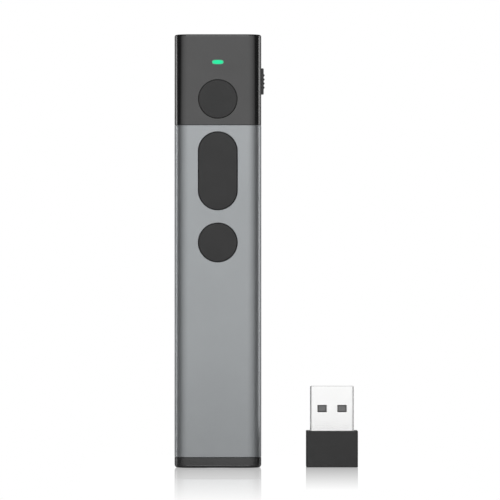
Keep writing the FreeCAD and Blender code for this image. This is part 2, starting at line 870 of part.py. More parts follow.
def make_key_frame():
    body = new_body("key_frame")
    foot = lower_key_level - s.key_window / 2 - s.rib_thick
    top = light_level + s.light_height + s.rib_thick
    outline = sketch_on(body, "XY", foot)
    add_rounded(outline, 0, 0, carrier_width, carrier_depth, carrier_radius)
    pad(body, outline, top - foot)
    cut_trough(body, 2 * carrier_width, frame_back, carrier_depth, foot, top)
    windows = sketch_on(body, "XZ", -frame_front)
    add_circle(windows, 0, laser_key_level, s.key_window / 2)
    add_upright_slot(windows, 0, page_key_level, s.key_window, s.page_window_length)
    add_circle(windows, 0, lower_key_level, s.key_window / 2)
    wide = s.light_width + 2 * s.light_gap
    high = s.light_height + 2 * s.light_gap
    add_level_slot(windows, 0, light_level, wide, high)
    pocket(body, windows, s.key_plate)
    reach = s.key_window / 2 + s.hook_reach + s.seat_fit
    bearings = sketch_on(body, "YZ", reach)
    add_circle(bearings, pivot_depth, page_key_level, s.pivot_radius + s.slip_fit)
    pocket(body, bearings, 2 * reach)


# Keys
def make_round_key(label, level):
    body = new_body(label)
    outline = sketch_on(body, "XZ", -key_back)
    add_circle(outline, 0, level, s.key_window / 2 - s.key_gap)
    pad(body, outline, half_depth + s.key_proud + key_back)
    round_edges(body, s.key_edge, at_key_face)
    hooks = sketch_on(body, "XZ", -key_back)
    add_rectangle(hooks, 0, level, s.key_window + 2 * s.hook_reach, s.hook_width)
    pad(body, hooks, s.hook_thick)


def at_key_face(edge):
    return at_depth(edge, -(half_depth + s.key_proud))


def make_page_key():
    body = new_body("page_key")
    outline = sketch_on(body, "XZ", -key_back)
    wide = s.key_window - 2 * s.key_gap
    high = s.page_window_length - 2 * s.key_gap
    add_upright_slot(outline, 0, page_key_level, wide, high)
    pad(body, outline, half_depth + s.key_proud + key_back)
    round_edges(body, s.key_edge, at_key_face)
    reach = s.key_window / 2 + s.hook_reach
    trunnions = sketch_on(body, "YZ", -reach)
    add_circle(trunnions, pivot_depth, page_key_level, s.pivot_radius)
    pad(body, trunnions, 2 * reach)


def dome_levels():
    return [
        laser_key_level,
        page_key_level + s.page_dome_reach,
        page_key_level - s.page_dome_reach,
        lower_key_level,
    ]


def make_key_mat():
    """The soft mat, with a hollow dome and a pip under each key."""
    foot = lower_key_level - s.mat_margin
    high = laser_key_level + s.mat_margin - foot
    sheet = block(0, board_front - s.mat_thick, foot, mat_width, s.mat_thick, high)
    domes, hollows, pips = [], [], []
    roof = s.dome_height - s.dome_cavity_depth
    for level in dome_levels():
        domes.append(
            frustum(0, board_front, level, s.dome_foot_radius, s.dome_top_radius, s.dome_height)
        )
        hollows.append(
            rod(0, board_front, level, s.dome_cavity_radius, s.dome_cavity_depth, TO_FRONT)
        )
        pip_back = key_back + roof + s.pip_drop
        pips.append(rod(0, pip_back, level, s.pip_radius, roof / 2 + s.pip_drop, TO_FRONT))
    name(fuse(cut(fuse(sheet, *domes), *hollows), *pips), "key_mat")


def make_contact_domes():
    """Thin pressed-metal domes on the board, one under each dome of the mat."""
    shells = []
    for level in dome_levels():
        foot, top, high = s.contact_radius, s.contact_top_radius, s.contact_height
        outside = frustum(0, board_front, level, foot, top, high)
        inner_foot, inner_top = foot - s.contact_thick, top - s.contact_thick
        inside = frustum(0, board_front, level, inner_foot, inner_top, high - s.contact_thick)
        shells.append(cut(outside, inside))
    name(group(*shells), "contact_domes")


# Status light
def make_status_light():
    led_front = board_front - s.led_thick
    body = new_body("light_pipe")
    outline = sketch_on(body, "XZ", -(led_front - s.light_gap))
    wide = s.light_width - 2 * s.snug_fit
    high = s.light_height - 2 * s.snug_fit
    add_level_slot(outline, 0, light_level, wide, high)
    pad(body, outline, half_depth + led_front - s.light_gap)
    chip_foot = light_level - s.led_height / 2
    chip = block(0, led_front, chip_foot, s.led_width, s.led_thick, s.led_height)
    name(chip, "status_led")


# Power slider
def make_slider_knob():
    body = new_body("slider_knob")
    flange = sketch_on(body, "YZ", flange_inside)
    middle, long = (flange_top + flange_foot) / 2, flange_top - flange_foot
    add_rectangle(flange, 0, middle, s.flange_width, long)
    pad(body, flange, s.flange_thick)
    grip = sketch_on(body, "YZ", flange_outside)
    add_rectangle(grip, 0, knob_level, s.knob_width, s.knob_length)
    pad(body, grip, half_width + s.knob_proud - flange_outside)
    round_edges(body, s.knob_edge, at_grip_face)
    ridge = sketch_on(body, "YZ", half_width + s.knob_proud)
    lowest = knob_level - (s.ridge_count - 1) * s.ridge_pitch / 2
    ridge_length = s.knob_width - 2 * s.knob_edge - 2 * s.ridge_inset
    add_rectangle(ridge, 0, lowest, ridge_length, s.ridge_width)
    first = pad(body, ridge, s.ridge_proud)
    ridges = body.newObject("PartDesign::LinearPattern", "Ridges")
    ridges.Originals = [first]
    up = [f for f in body.Origin.OriginFeatures if f.Role == "Z_Axis"]
    ridges.Direction = (up[0], [""])
    ridges.setExpression("Length", ((s.ridge_count - 1) * s.ridge_pitch).text)
    ridges.setExpression("Occurrences", s.ridge_count.text)
    body.Tip = ridges
    doc.recompute()
    fork = sketch_on(body, "YZ", flange_inside - prong_reach)
    reach = s.lever_width / 2 + s.slip_fit + s.prong_thick / 2
    for side in (-1, 1):
        prong_depth = s.switch_thick - 2 * s.slip_fit
        add_rectangle(fork, lever_depth, knob_level + side * reach, prong_depth, s.prong_thick)
    pad(body, fork, prong_reach)


def at_grip_face(edge):
    box, face = edge.BoundBox, half_width + s.knob_proud
    return same(box.XMin, face) and same(box.XMax, face)


def make_switch():
    """The slide switch on the board: its can, and the lever that the knob's fork drives."""
    wall, deep = s.switch_wall, s.switch_thick
    foot = knob_level - s.knob_travel / 2 - s.switch_length / 2
    across = switch_start + s.switch_width / 2
    can = block(across, board_back, foot, s.switch_width, deep, s.switch_length)
    room_width, room_depth = s.switch_width - 2 * wall, deep - 2 * wall
    room = block(
        across, board_back + wall, foot + wall, room_width, room_depth, s.switch_length - 2 * wall
    )
    lever_foot = knob_level - s.lever_width / 2
    gate_depth = s.lever_thick + 2 * s.slip_fit
    gate_foot = lever_foot - s.knob_travel - s.slip_fit
    gate_high = s.lever_width + s.knob_travel + 2 * s.slip_fit
    gate_front = lever_depth - gate_depth / 2
    gate = block(switch_face, gate_front, gate_foot, 3 * wall, gate_depth, gate_high)
    name(cut(can, room, gate), "switch_can")
    lever_start = switch_start + 2 * wall
    lever_end = flange_inside - prong_reach + s.lever_overlap
    lever_long = lever_end - lever_start
    lever = block(
        lever_start + lever_long / 2,
        lever_depth - s.lever_thick / 2,
        lever_foot,
        lever_long,
        s.lever_thick,
        s.lever_width,
    )
    name(lever, "switch_lever")


# Circuit board
def make_main_board():
    body = new_body("main_board")
    outline = sketch_on(body, "XZ", -board_back)
    high = board_top - board_foot
    add_rectangle(outline, 0, board_foot + high / 2, board_width, high)
    pad(body, outline, s.board_thick)
    holes = sketch_on(body, "XZ", -board_front)
    for level in rib_levels:
        for side in (-1, 1):
            across = side * board_screw_across
            add_circle(holes, across, level, s.screw_radius + s.screw_play)
    pocket(body, holes, s.board_thick)


def chip(label, across, foot, wide, thick, high):
    """A flat component soldered to the back of the board."""
    name(block(across, board_back, foot, wide, thick, high), label)


def make_board_parts():
    radio_foot = high_rib_top + s.chip_space
    radio_side, charger_side = s.radio_chip_side, s.charger_chip_side
    chip("radio_chip", 0, radio_foot, radio_side, s.chip_thick, radio_side)
    crystal_across = (cell_slot - s.crystal_width) / 2 - s.crystal_edge
    chip("crystal", crystal_across, radio_foot, s.crystal_width, s.crystal_thick, s.crystal_height)
    charger_across = -(cell_slot - charger_side) / 2 + s.charger_edge
    chip("charger_chip", charger_across, radio_foot, charger_side, s.chip_thick, charger_side)
    antenna_across = s.antenna_margin - board_width / 2
    antenna_foot = board_top - s.antenna_length - s.end_play
    chip(
        "chip_antenna",
        antenna_across,
        antenna_foot,
        s.antenna_width,
        s.crystal_thick,
        s.antenna_length,
    )
    capacitors = []
    row_foot = radio_foot + radio_side + s.chip_space
    first = -(s.capacitor_count - 1) * s.capacitor_pitch / 2
    for i in range(int(s.capacitor_count.value)):
        across = first + i * s.capacitor_pitch
        side = s.capacitor_width
        capacitors.append(block(across, board_back, row_foot, side, side, s.capacitor_length))
    name(group(*capacitors), "capacitors")


# Battery
def make_battery():
    body = new_body("battery_cell")
    outline = sketch_on(body, "XY", cell_foot)
    middle = (cell_back + cell_front) / 2
    add_rounded(outline, 0, middle, cell_width, cell_thick, cell_corner)
    pad(body, outline, cell_top - cell_foot)
    tape_width = cell_width - 2 * cell_corner
    tape = block(0, cell_back, cell_foot, tape_width, s.tape_thick, cell_top - cell_foot)
    name(tape, "battery_tape")
    tabs = []
    for side in (-1, 1):
        deep = cell_front + s.tab_lap - board_back
        tabs.append(
            block(side * s.tab_from_axis, board_back, cell_top, s.tab_width, deep, s.tab_thick)
        )
    name(group(*tabs), "battery_tabs")


# Laser module
def make_laser():
    barrel = rod(0, laser_depth, barrel_foot, barrel_radius, s.barrel_length)
    bore = rod(0, laser_depth, barrel_foot, barrel_bore, s.barrel_length)
    socket = rod(0, laser_depth, barrel_foot, diode_radius + s.snug_fit, s.diode_length)
    seat_level = barrel_top - s.lens_seat
    seat = rod(0, laser_depth, seat_level, lens_radius + s.snug_fit, s.lens_seat)
    name(cut(barrel, bore, socket, seat), "laser_barrel")
    name(rod(0, laser_depth, barrel_foot, diode_radius, s.diode_length), "laser_diode")
    disc = rod(0, laser_depth, seat_level, lens_radius, s.lens_thick)
    ball = doc.addObject("Part::Sphere", "Curve")
    ball.setExpression("Radius", s.lens_curve.text)
    place(ball, 0, laser_depth, seat_level + s.lens_thick - s.lens_curve)
    lens = doc.addObject("Part::Common", "Lens")
    lens.Base, lens.Tool = disc, ball
    name(lens, "laser_lens")
    pane = rod(0, laser_depth, roof_level, s.pane_radius, s.pane_thick)
    name(pane, "laser_pane")
    driver_front = laser_depth - s.driver_thick / 2
    driver = block(
        0, driver_front, driver_foot, s.driver_width, s.driver_thick, s.driver_length
    )
    name(driver, "laser_driver_board")
    pins = []
    for side in (-1, 1):
        pins.append(
            rod(
                side * pin_from_axis,
                board_back,
                driver_foot + s.driver_length / 2,
                s.pin_radius,
                driver_front - board_back,
                TO_BACK,
            )
        )
    name(group(*pins), "laser_pins")


# Screws
def recess(x, y, z, wide, deep, high):
    """One bar of a cross recess, centred on a point."""
    return block(x, y - deep / 2, z - high / 2, wide, deep, high)


def make_cap_screws():
    """The two screws that pull the end cap against the tube."""
    head_foot_level = s.screw_sink
    screws = []
    for side in (-1, 1):
        across = side * screw_from_axis
        head = rod(across, 0, head_foot_level, s.screw_head_radius, s.screw_head_height)
        shank_foot = head_foot_level + s.screw_head_height
        shank = rod(across, 0, shank_foot, s.screw_radius, s.screw_length)
        wide, narrow, deep = s.recess_length, s.recess_width, 2 * s.recess_depth
        bars = [
            recess(across, 0, head_foot_level, wide, narrow, deep),
            recess(across, 0, head_foot_level, narrow, wide, deep),
        ]
        screws.append(cut(fuse(head, shank), *bars))
    name(group(*screws), "cap_screws")


def make_board_screws():
    """The four screws that hold the board to the carrier's ribs."""
    head_front = board_front - s.screw_head_height
    screws = []
    for level in rib_levels:
        for side in (-1, 1):
            across = side * board_screw_across
            head = rod(
                across, head_front, level, s.screw_head_radius, s.screw_head_height, TO_BACK
            )
            shank = rod(across, board_front, level, s.screw_radius, s.board_screw_length, TO_BACK)
            wide, narrow, deep = s.recess_length, s.recess_width, 2 * s.recess_depth
            bars = [
                recess(across, head_front, level, wide, deep, narrow),
                recess(across, head_front, level, narrow, deep, wide),
            ]
            screws.append(cut(fuse(head, shank), *bars))
    name(group(*screws), "board_screws")


# Charging port and magnets
def make_charge_port():
    middle = board_back + s.port_depth / 2
    body = new_body("charge_port_shell")
    outline = sketch_on(body, "XY", port_foot)
    add_rounded(outline, 0, middle, s.port_width, s.port_depth, s.port_corner)
    pad(body, outline, s.port_length)
    hollow = sketch_on(body, "XY", port_top)
    wide = s.port_width - 2 * s.port_metal
    deep = s.port_depth - 2 * s.port_metal
    add_rounded(hollow, 0, middle, wide, deep, s.port_corner - s.port_metal)
    pocket(body, hollow, s.port_length)
    core = new_body("charge_port_core")
    base = sketch_on(core, "XY", port_top - s.port_base)
    slack = s.snug_fit
    add_rounded(
        base, 0, middle, wide - 2 * slack, deep - 2 * slack, s.port_corner - s.port_metal - slack
    )
    pad(core, base, s.port_base)
    tongue_foot = port_foot + s.port_tongue_setback
    tongue = sketch_on(core, "XY", tongue_foot)
    add_rectangle(tongue, 0, middle, s.port_tongue_width, s.port_tongue_thick)
    pad(core, tongue, port_top - s.port_base - tongue_foot)


def make_bay_magnets():
    magnets = []
    for side in (-1, 1):
        across = side * magnet_from_axis
        magnets.append(rod(across, s.magnet_setback, sleeve_top, s.magnet_radius, s.magnet_height))
    name(group(*magnets), "bay_magnets")


# Receiver, which stands beside the clicker
plug_foot = s.cover_height - s.plug_buried
plug_tip = s.cover_height + s.plug_length


def stand_aside(body):
    body.setExpression("Placement.Base.x", s.receiver_offset.text)


def make_receiver_cover():
    body = new_body("receiver_cover")
    outline = sketch_on(body, "XY", 0)
    add_rounded(outline, 0, 0, cover_width, cover_depth, s.cover_corner)
    pad(body, outline, s.cover_height)
    round_edges(body, s.cover_edge, at_cover_end)
    room = sketch_on(body, "XY", s.cover_height)
    wide = s.plug_width + 2 * s.snug_fit
    deep = s.plug_depth + 2 * s.snug_fit
    add_rounded(room, 0, 0, wide, deep, s.plug_corner + s.snug_fit)
    pocket(body, room, s.cover_height - s.cover_floor)
    stand_aside(body)


def at_cover_end(edge):
    return at_height(edge, 0) or at_height(edge, s.cover_height)


def make_plug_shell():
    body = new_body("plug_shell")
    outline = sketch_on(body, "XY", plug_foot)
    add_rounded(outline, 0, 0, s.plug_width, s.plug_depth, s.plug_corner)
    pad(body, outline, plug_tip - plug_foot)
    hollow = sketch_on(body, "XY", plug_tip)
    wide = s.plug_width - 2 * s.plug_metal
    deep = s.plug_depth - 2 * s.plug_metal
    add_rounded(hollow, 0, 0, wide, deep, s.plug_corner - s.plug_metal)
    pocket(body, hollow, plug_tip - plug_foot)
    slots = sketch_on(body, "XZ", s.plug_depth / 2)
    for side in (-1, 1):
        across = side * s.slot_spacing / 2
        level = s.cover_height + s.plug_slot_rise
        add_rectangle(slots, across, level, s.slot_width, s.slot_height)
    pocket(body, slots, s.plug_depth)
    stand_aside(body)


def make_plug_core():
    """The plastic block in the plug, whose tongue lies along the front of the metal shell."""
    body = new_body("plug_core")
    wide = s.plug_width - 2 * s.plug_metal - 2 * s.snug_fit
    deep = s.plug_depth - 2 * s.plug_metal - 2 * s.snug_fit
    block_foot = s.cover_floor + s.snug_fit + s.receiver_board_length
    base = sketch_on(body, "XY", block_foot)
    add_rounded(base, 0, 0, wide, deep, s.plug_corner - s.plug_metal - s.snug_fit)
    pad(body, base, s.block_length)
    tongue = sketch_on(body, "XY", block_foot + s.block_length)
    tongue_wide = wide - 2 * s.plug_corner
    add_rectangle(tongue, 0, (s.tongue_thick - deep) / 2, tongue_wide, s.tongue_thick)
    pad(body, tongue, plug_tip - s.tongue_setback - block_foot - s.block_length)
    stand_aside(body)


def make_plug_fingers():
    """The four contact fingers on the inner side of the tongue."""
    deep = s.plug_depth - 2 * s.plug_metal - 2 * s.snug_fit
    back = s.tongue_thick - deep / 2
    foot = s.cover_floor + s.snug_fit + s.receiver_board_length + s.block_length
    top = plug_tip - s.tongue_setback - s.finger_setback
    fingers = []
    for across in (s.finger_inner, s.finger_outer):
        for side in (-1, 1):
            fingers.append(
                block(
                    s.receiver_offset + side * across,
                    back,
                    foot,
                    s.finger_width,
                    s.finger_thick,
                    top - foot,
                )
            )
    name(group(*fingers), "plug_fingers")


def make_receiver_board():
    foot = s.cover_floor + s.snug_fit
    wide = s.plug_width - 2 * s.plug_metal - 2 * s.receiver_board_side
    board = block(
        s.receiver_offset,
        -(s.receiver_board_thick / 2),
        foot,
        wide,
        s.receiver_board_thick,
        s.receiver_board_length,
    )
    name(board, "receiver_board")
    radio = block(
        s.receiver_offset,
        s.receiver_board_thick / 2,
        foot + s.receiver_chip_side / 4,
        s.receiver_chip_side,
        s.receiver_chip_thick,
        s.receiver_chip_side,
    )
    name(radio, "receiver_chip")
    crystal = block(
        s.receiver_offset,
        -(s.receiver_board_thick / 2) - s.receiver_crystal_thick,
        foot + s.receiver_chip_side / 4,
        s.receiver_crystal_width,
        s.receiver_crystal_thick,
        s.receiver_crystal_height,
    )
    name(crystal, "receiver_crystal")


def write_parts():
    """Checks every object and writes each node's shape to its own file."""
    doc.recompute()
    for thing in doc.Objects:
        if "Invalid" in thing.State or "Error" in thing.State:
            raise RuntimeError(f"{thing.Label} failed: {thing.State}")
    for node in nodes:
        if node.Shape.isNull() or not node.Shape.isValid():
            raise RuntimeError(f"{node.Label} has no valid shape")
    os.makedirs("parts", exist_ok=True)
    for node in nodes:
        node.Shape.exportStep(f"parts/{node.Label}.step")
        print(f"{node.Label}: {len(node.Shape.Solids)} solid, {node.Shape.Volume:.1f} mm3")


make_body_tube()
make_head_shell()
make_end_cap()
make_carrier()
make_key_frame()
make_round_key("laser_key", laser_key_level)
make_page_key()
make_round_key("lower_key", lower_key_level)
make_key_mat()
make_contact_domes()
make_status_light()
make_slider_knob()
make_switch()
make_main_board()
make_board_parts()
make_battery()
make_laser()
make_cap_screws()
make_board_screws()
make_charge_port()
make_bay_magnets()
make_receiver_cover()
make_plug_shell()
make_plug_core()
make_plug_fingers()
make_receiver_board()
write_parts()
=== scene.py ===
import math

import bmesh
import bpy
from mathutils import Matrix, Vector


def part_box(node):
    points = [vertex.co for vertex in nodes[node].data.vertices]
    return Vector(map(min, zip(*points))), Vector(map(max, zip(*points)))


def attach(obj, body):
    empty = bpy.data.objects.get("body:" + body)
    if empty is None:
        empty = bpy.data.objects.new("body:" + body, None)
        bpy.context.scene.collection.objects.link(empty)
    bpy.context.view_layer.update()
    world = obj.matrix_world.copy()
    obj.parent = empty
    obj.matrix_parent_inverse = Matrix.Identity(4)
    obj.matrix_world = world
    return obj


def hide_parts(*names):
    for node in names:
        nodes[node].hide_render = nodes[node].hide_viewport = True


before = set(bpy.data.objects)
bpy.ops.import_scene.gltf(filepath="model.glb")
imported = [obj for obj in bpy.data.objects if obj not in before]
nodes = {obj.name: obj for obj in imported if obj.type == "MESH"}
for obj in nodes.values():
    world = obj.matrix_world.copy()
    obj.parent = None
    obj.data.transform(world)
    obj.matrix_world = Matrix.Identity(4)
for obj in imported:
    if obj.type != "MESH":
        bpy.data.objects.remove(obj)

# A pocket clicker and its plug-in receiver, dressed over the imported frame. Metres throughout.
mm = 0.001
farOut = 1.0  # past everything here
overcut = 1 * mm  # how far a cutter starts outside what it cuts
weldDistance = 0.0005 * mm
colorA, colorB, colorOut = 6, 7, 2  # the colour sockets of a Mix node
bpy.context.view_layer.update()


# Plain mesh helpers

def linked(name, mesh):
    piece = bpy.data.objects.new(name, mesh)
    bpy.context.scene.collection.objects.link(piece)
    return piece


def slotOutline(wide, high, grow, steps=12):
    # a round or a slot with half-round ends; grow moves its edge outwards
    radius = min(wide, high) / 2 + grow
    reachX, reachZ = max(0, wide - high) / 2, max(0, high - wide) / 2
    points = []
    for step in range(4 * steps):
        turn = 2 * math.pi * (step + 0.5) / (4 * steps)
        x, z = math.cos(turn), math.sin(turn)
        shiftX, shiftZ = math.copysign(reachX, x), math.copysign(reachZ, z)
        points.append((radius * x + shiftX, radius * z + shiftZ))
    return points


def boxOutline(wide, high, grow=0.0):
    x, z = wide / 2 + grow, high / 2 + grow
    return [(x, -z), (x, z), (-x, z), (-x, -z)]


def facing(outline, depth, centre):
    # an outline seen from the front, at a depth; centre is (x, z)
    return [(centre[0] + x, depth, centre[1] + z) for x, z in outline]


def upright(outline, level, centre=(0, 0)):
    # an outline seen from above, at a height; centre is (x, y)
    return [(centre[0] + x, centre[1] + y, level) for x, y in outline]


def loftRings(name, rings, closed=False):
    # rings of equal length, joined side by side into a closed solid
    mesh = bpy.data.meshes.new(name)
    shape = bmesh.new()
    rows = [[shape.verts.new(point) for point in ring] for ring in rings]
    pairs = list(zip(rows, rows[1:])) + ([(rows[-1], rows[0])] if closed else [])
    for near, far in pairs:
        for i in range(len(near)):
            j = (i + 1) % len(near)
            shape.faces.new((near[i], near[j], far[j], far[i]))
    if not closed:
        shape.faces.new(list(reversed(rows[0])))
        shape.faces.new(rows[-1])
    bmesh.ops.recalc_face_normals(shape, faces=shape.faces)
    shape.to_mesh(mesh)
    shape.free()
    return linked(name, mesh)


def boxBetween(low, high):
    centre = ((low[0] + high[0]) / 2, (low[1] + high[1]) / 2)
    outline = boxOutline(high[0] - low[0], high[1] - low[1])
    return loftRings("box", [upright(outline, low[2], centre), upright(outline, high[2], centre)])


def bakeModifiers(piece):
    # the evaluated shape becomes the piece's own plain mesh
    view = bpy.context.evaluated_depsgraph_get()
    baked = bpy.data.meshes.new_from_object(piece.evaluated_get(view), depsgraph=view)
    piece.modifiers.clear()
    piece.data = baked
    baked.name = piece.name


def carve(piece, cutters, operation="DIFFERENCE"):
    # exact cuts or joins, made one after another
    for cutter in cutters:
        tool = piece.modifiers.new("carve", "BOOLEAN")
        tool.operation = operation
        tool.solver = "EXACT"
        tool.object = cutter
    bakeModifiers(piece)
    for cutter in cutters:
        bpy.data.objects.remove(cutter)
    return piece


shading = {"sharpAngle": 25, "faceWeight": 100}


def softShading(piece, sharpAngle):
    # smooth faces with crisp edges past an angle, and flats that stay flat
    shape = bmesh.new()
    shape.from_mesh(piece.data)
    bmesh.ops.remove_doubles(shape, verts=shape.verts, dist=weldDistance)
    for face in shape.faces:
        face.smooth = True
    for edge in shape.edges:
        edge.smooth = edge.calc_face_angle(0) < math.radians(sharpAngle)
    shape.to_mesh(piece.data)
    shape.free()
    even = piece.modifiers.new("even normals", "WEIGHTED_NORMAL")
    even.keep_sharp = True
    even.weight = shading["faceWeight"]
    bakeModifiers(piece)


def mergedCopy(nodeName, name):
    # a CAD node's loose triangles, merged into a closed mesh
    source = nodes[nodeName].data
    shape = bmesh.new()
    shape.from_mesh(source)
    bmesh.ops.remove_doubles(shape, verts=shape.verts, dist=weldDistance)
    mesh = bpy.data.meshes.new(name)
    shape.to_mesh(mesh)
    shape.free()
    mesh.materials.clear()
    return linked(name, mesh)


def span(nodeName):
    low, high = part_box(nodeName)
    return Vector(low), Vector(high)


def faceSpan(nodeName, depth):
    # the box of the part of a node that lies within a depth of its front
    front = span(nodeName)[0].y + depth
    points = [v.co for v in nodes[nodeName].data.vertices if v.co.y < front]
    low = Vector([min(p[axis] for p in points) for axis in range(3)])
    high = Vector([max(p[axis] for p in points) for axis in range(3)])
    return low, high


def finish(piece, body, material, nodeName):
    # shading, one material, the body it rides on, and the node it stands for, which is hidden
    softShading(piece, shading["sharpAngle"])
    piece.data.materials.clear()
    piece.data.materials.append(paint[material])
    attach(piece, body)
    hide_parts(nodeName)
    return piece


def dressed(nodeName, name, body, material):
    # a finished copy of a frame piece
    return finish(mergedCopy(nodeName, name), body, material, nodeName)


# Shader building

def addNode(tree, kind, **values):
    made = tree.nodes.new(kind)
    for key, value in values.items():
        if key in made.inputs:
            made.inputs[key].default_value = value
        else:
            setattr(made, key, value)
    return made


def newGroup(name, inputs, outputs):
    tree = bpy.data.node_groups.new(name, "ShaderNodeTree")
    for label, kind, value in inputs:
        socket = tree.interface.new_socket(label, in_out="INPUT", socket_type=kind)
        socket.default_value = value
    for label, kind in outputs:
        tree.interface.new_socket(label, in_out="OUTPUT", socket_type=kind)
    return tree, tree.nodes.new("NodeGroupInput"), tree.nodes.new("NodeGroupOutput")


grainShape = {
    "detail": 3.0, "roughness": 0.6, "cloudDetail": 4.0, "cloudRoughness": 0.55,
    "grainShare": 0.3, "low": 0.3, "high": 0.7,
}
mottleShape = {"detail": 5.0, "roughness": 0.6, "low": 0.35, "high": 0.65}


def makeFineGrain():
    # tiny bumps for blasted, moulded and rubbery surfaces, with roughness that follows them
    tree, given, result = newGroup(
        "fineGrain",
        [
            ("Grain Scale", "NodeSocketFloat", 8000.0),
            ("Cloud Scale", "NodeSocketFloat", 160.0),
            ("Rough Low", "NodeSocketFloat", 0.3),
            ("Rough High", "NodeSocketFloat", 0.4),
        ],
        [("Height", "NodeSocketFloat"), ("Roughness", "NodeSocketFloat")],
    )
    place = tree.nodes.new("ShaderNodeTexCoord")
    look = grainShape
    grain = addNode(
        tree, "ShaderNodeTexNoise", Detail=look["detail"], Roughness=look["roughness"]
    )
    cloud = addNode(
        tree, "ShaderNodeTexNoise", Detail=look["cloudDetail"], Roughness=look["cloudRoughness"]
    )
    both = addNode(tree, "ShaderNodeMix")
    both.inputs["Factor"].default_value = look["grainShare"]
    spread = tree.nodes.new("ShaderNodeMapRange")
    spread.inputs["From Min"].default_value = look["low"]
    spread.inputs["From Max"].default_value = look["high"]
    link = tree.links.new
    link(place.outputs["Object"], grain.inputs["Vector"])
    link(place.outputs["Object"], cloud.inputs["Vector"])
    link(given.outputs["Grain Scale"], grain.inputs["Scale"])
    link(given.outputs["Cloud Scale"], cloud.inputs["Scale"])
    link(cloud.outputs["Fac"], both.inputs["A"])
    link(grain.outputs["Fac"], both.inputs["B"])
    link(both.outputs["Result"], spread.inputs["Value"])
    link(given.outputs["Rough Low"], spread.inputs["To Min"])
    link(given.outputs["Rough High"], spread.inputs["To Max"])
    link(grain.outputs["Fac"], result.inputs["Height"])
    link(spread.outputs["Result"], result.inputs["Roughness"])
    return tree


def makeSoftMottle():
    # a slow drift between two near colours, as anodising and moulding leave
    tree, given, result = newGroup(
        "softMottle",
        [
            ("Scale", "NodeSocketFloat", 60.0),
            ("Color A", "NodeSocketColor", (0.3, 0.3, 0.3, 1)),
            ("Color B", "NodeSocketColor", (0.32, 0.32, 0.32, 1)),
        ],
        [("Color", "NodeSocketColor")],
    )
    place = tree.nodes.new("ShaderNodeTexCoord")
    look = mottleShape
    cloud = addNode(
        tree, "ShaderNodeTexNoise", Detail=look["detail"], Roughness=look["roughness"]
    )
    spread = tree.nodes.new("ShaderNodeMapRange")
    spread.inputs["From Min"].default_value = look["low"]
    spread.inputs["From Max"].default_value = look["high"]
    blend = addNode(tree, "ShaderNodeMix", data_type="RGBA")
    link = tree.links.new
    link(place.outputs["Object"], cloud.inputs["Vector"])
    link(given.outputs["Scale"], cloud.inputs["Scale"])
    link(cloud.outputs["Fac"], spread.inputs["Value"])
    link(spread.outputs["Result"], blend.inputs["Factor"])
    link(given.outputs["Color A"], blend.inputs[colorA])
    link(given.outputs["Color B"], blend.inputs[colorB])
    link(blend.outputs[colorOut], result.inputs["Color"])
    return tree


fineGrain = makeFineGrain()
softMottle = makeSoftMottle()


def placeGroup(tree, group, **values):
    made = tree.nodes.new("ShaderNodeGroup")
    made.node_tree = group
    for key, value in values.items():
        made.inputs[key].default_value = value
    return made


# what a finish has where its own values don't say otherwise; bumpDepth is in millimetres
plainFinish = {
    "metallic": 0.0, "coat": 0.0, "coatRoughness": 0.1, "specular": 0.5, "drift": 0.06,
    "cloudScale": 60.0, "cloudRatio": 3, "grainScale": 8000.0, "bump": 0.2, "bumpDepth": 0.01,
}


def makeFinish(name, ownLook):
    # one Principled surface: mottled colour, grain in its roughness, and a fine bump
    look = {**plainFinish, **ownLook}
    material = bpy.data.materials.new(name)
    material.use_nodes = True
    tree = material.node_tree
    surface = tree.nodes["Principled BSDF"]
    surface.inputs["Metallic"].default_value = look["metallic"]
    surface.inputs["Coat Weight"].default_value = look["coat"]
    surface.inputs["Coat Roughness"].default_value = look["coatRoughness"]
    surface.inputs["Specular IOR Level"].default_value = look["specular"]
    red, green, blue = look["color"]
    drift = look["drift"]
    mottle = placeGroup(tree, softMottle, **{
        "Scale": look["cloudScale"],
        "Color A": (red * (1 - drift), green * (1 - drift), blue * (1 - drift), 1),
        "Color B": (red * (1 + drift), green * (1 + drift), blue * (1 + drift), 1),
    })
    low, high = look["roughness"]
    grain = placeGroup(tree, fineGrain, **{
        "Grain Scale": look["grainScale"],
        "Cloud Scale": look["cloudScale"] * look["cloudRatio"],
        "Rough Low": low,
        "Rough High": high,
    })
    bump = addNode(tree, "ShaderNodeBump")
    bump.inputs["Strength"].default_value = look["bump"]
    bump.inputs["Distance"].default_value = look["bumpDepth"] * mm
    link = tree.links.new
    link(mottle.outputs["Color"], surface.inputs["Base Color"])
    link(grain.outputs["Roughness"], surface.inputs["Roughness"])
    link(grain.outputs["Height"], bump.inputs["Height"])
    link(bump.outputs["Normal"], surface.inputs["Normal"])
    return material


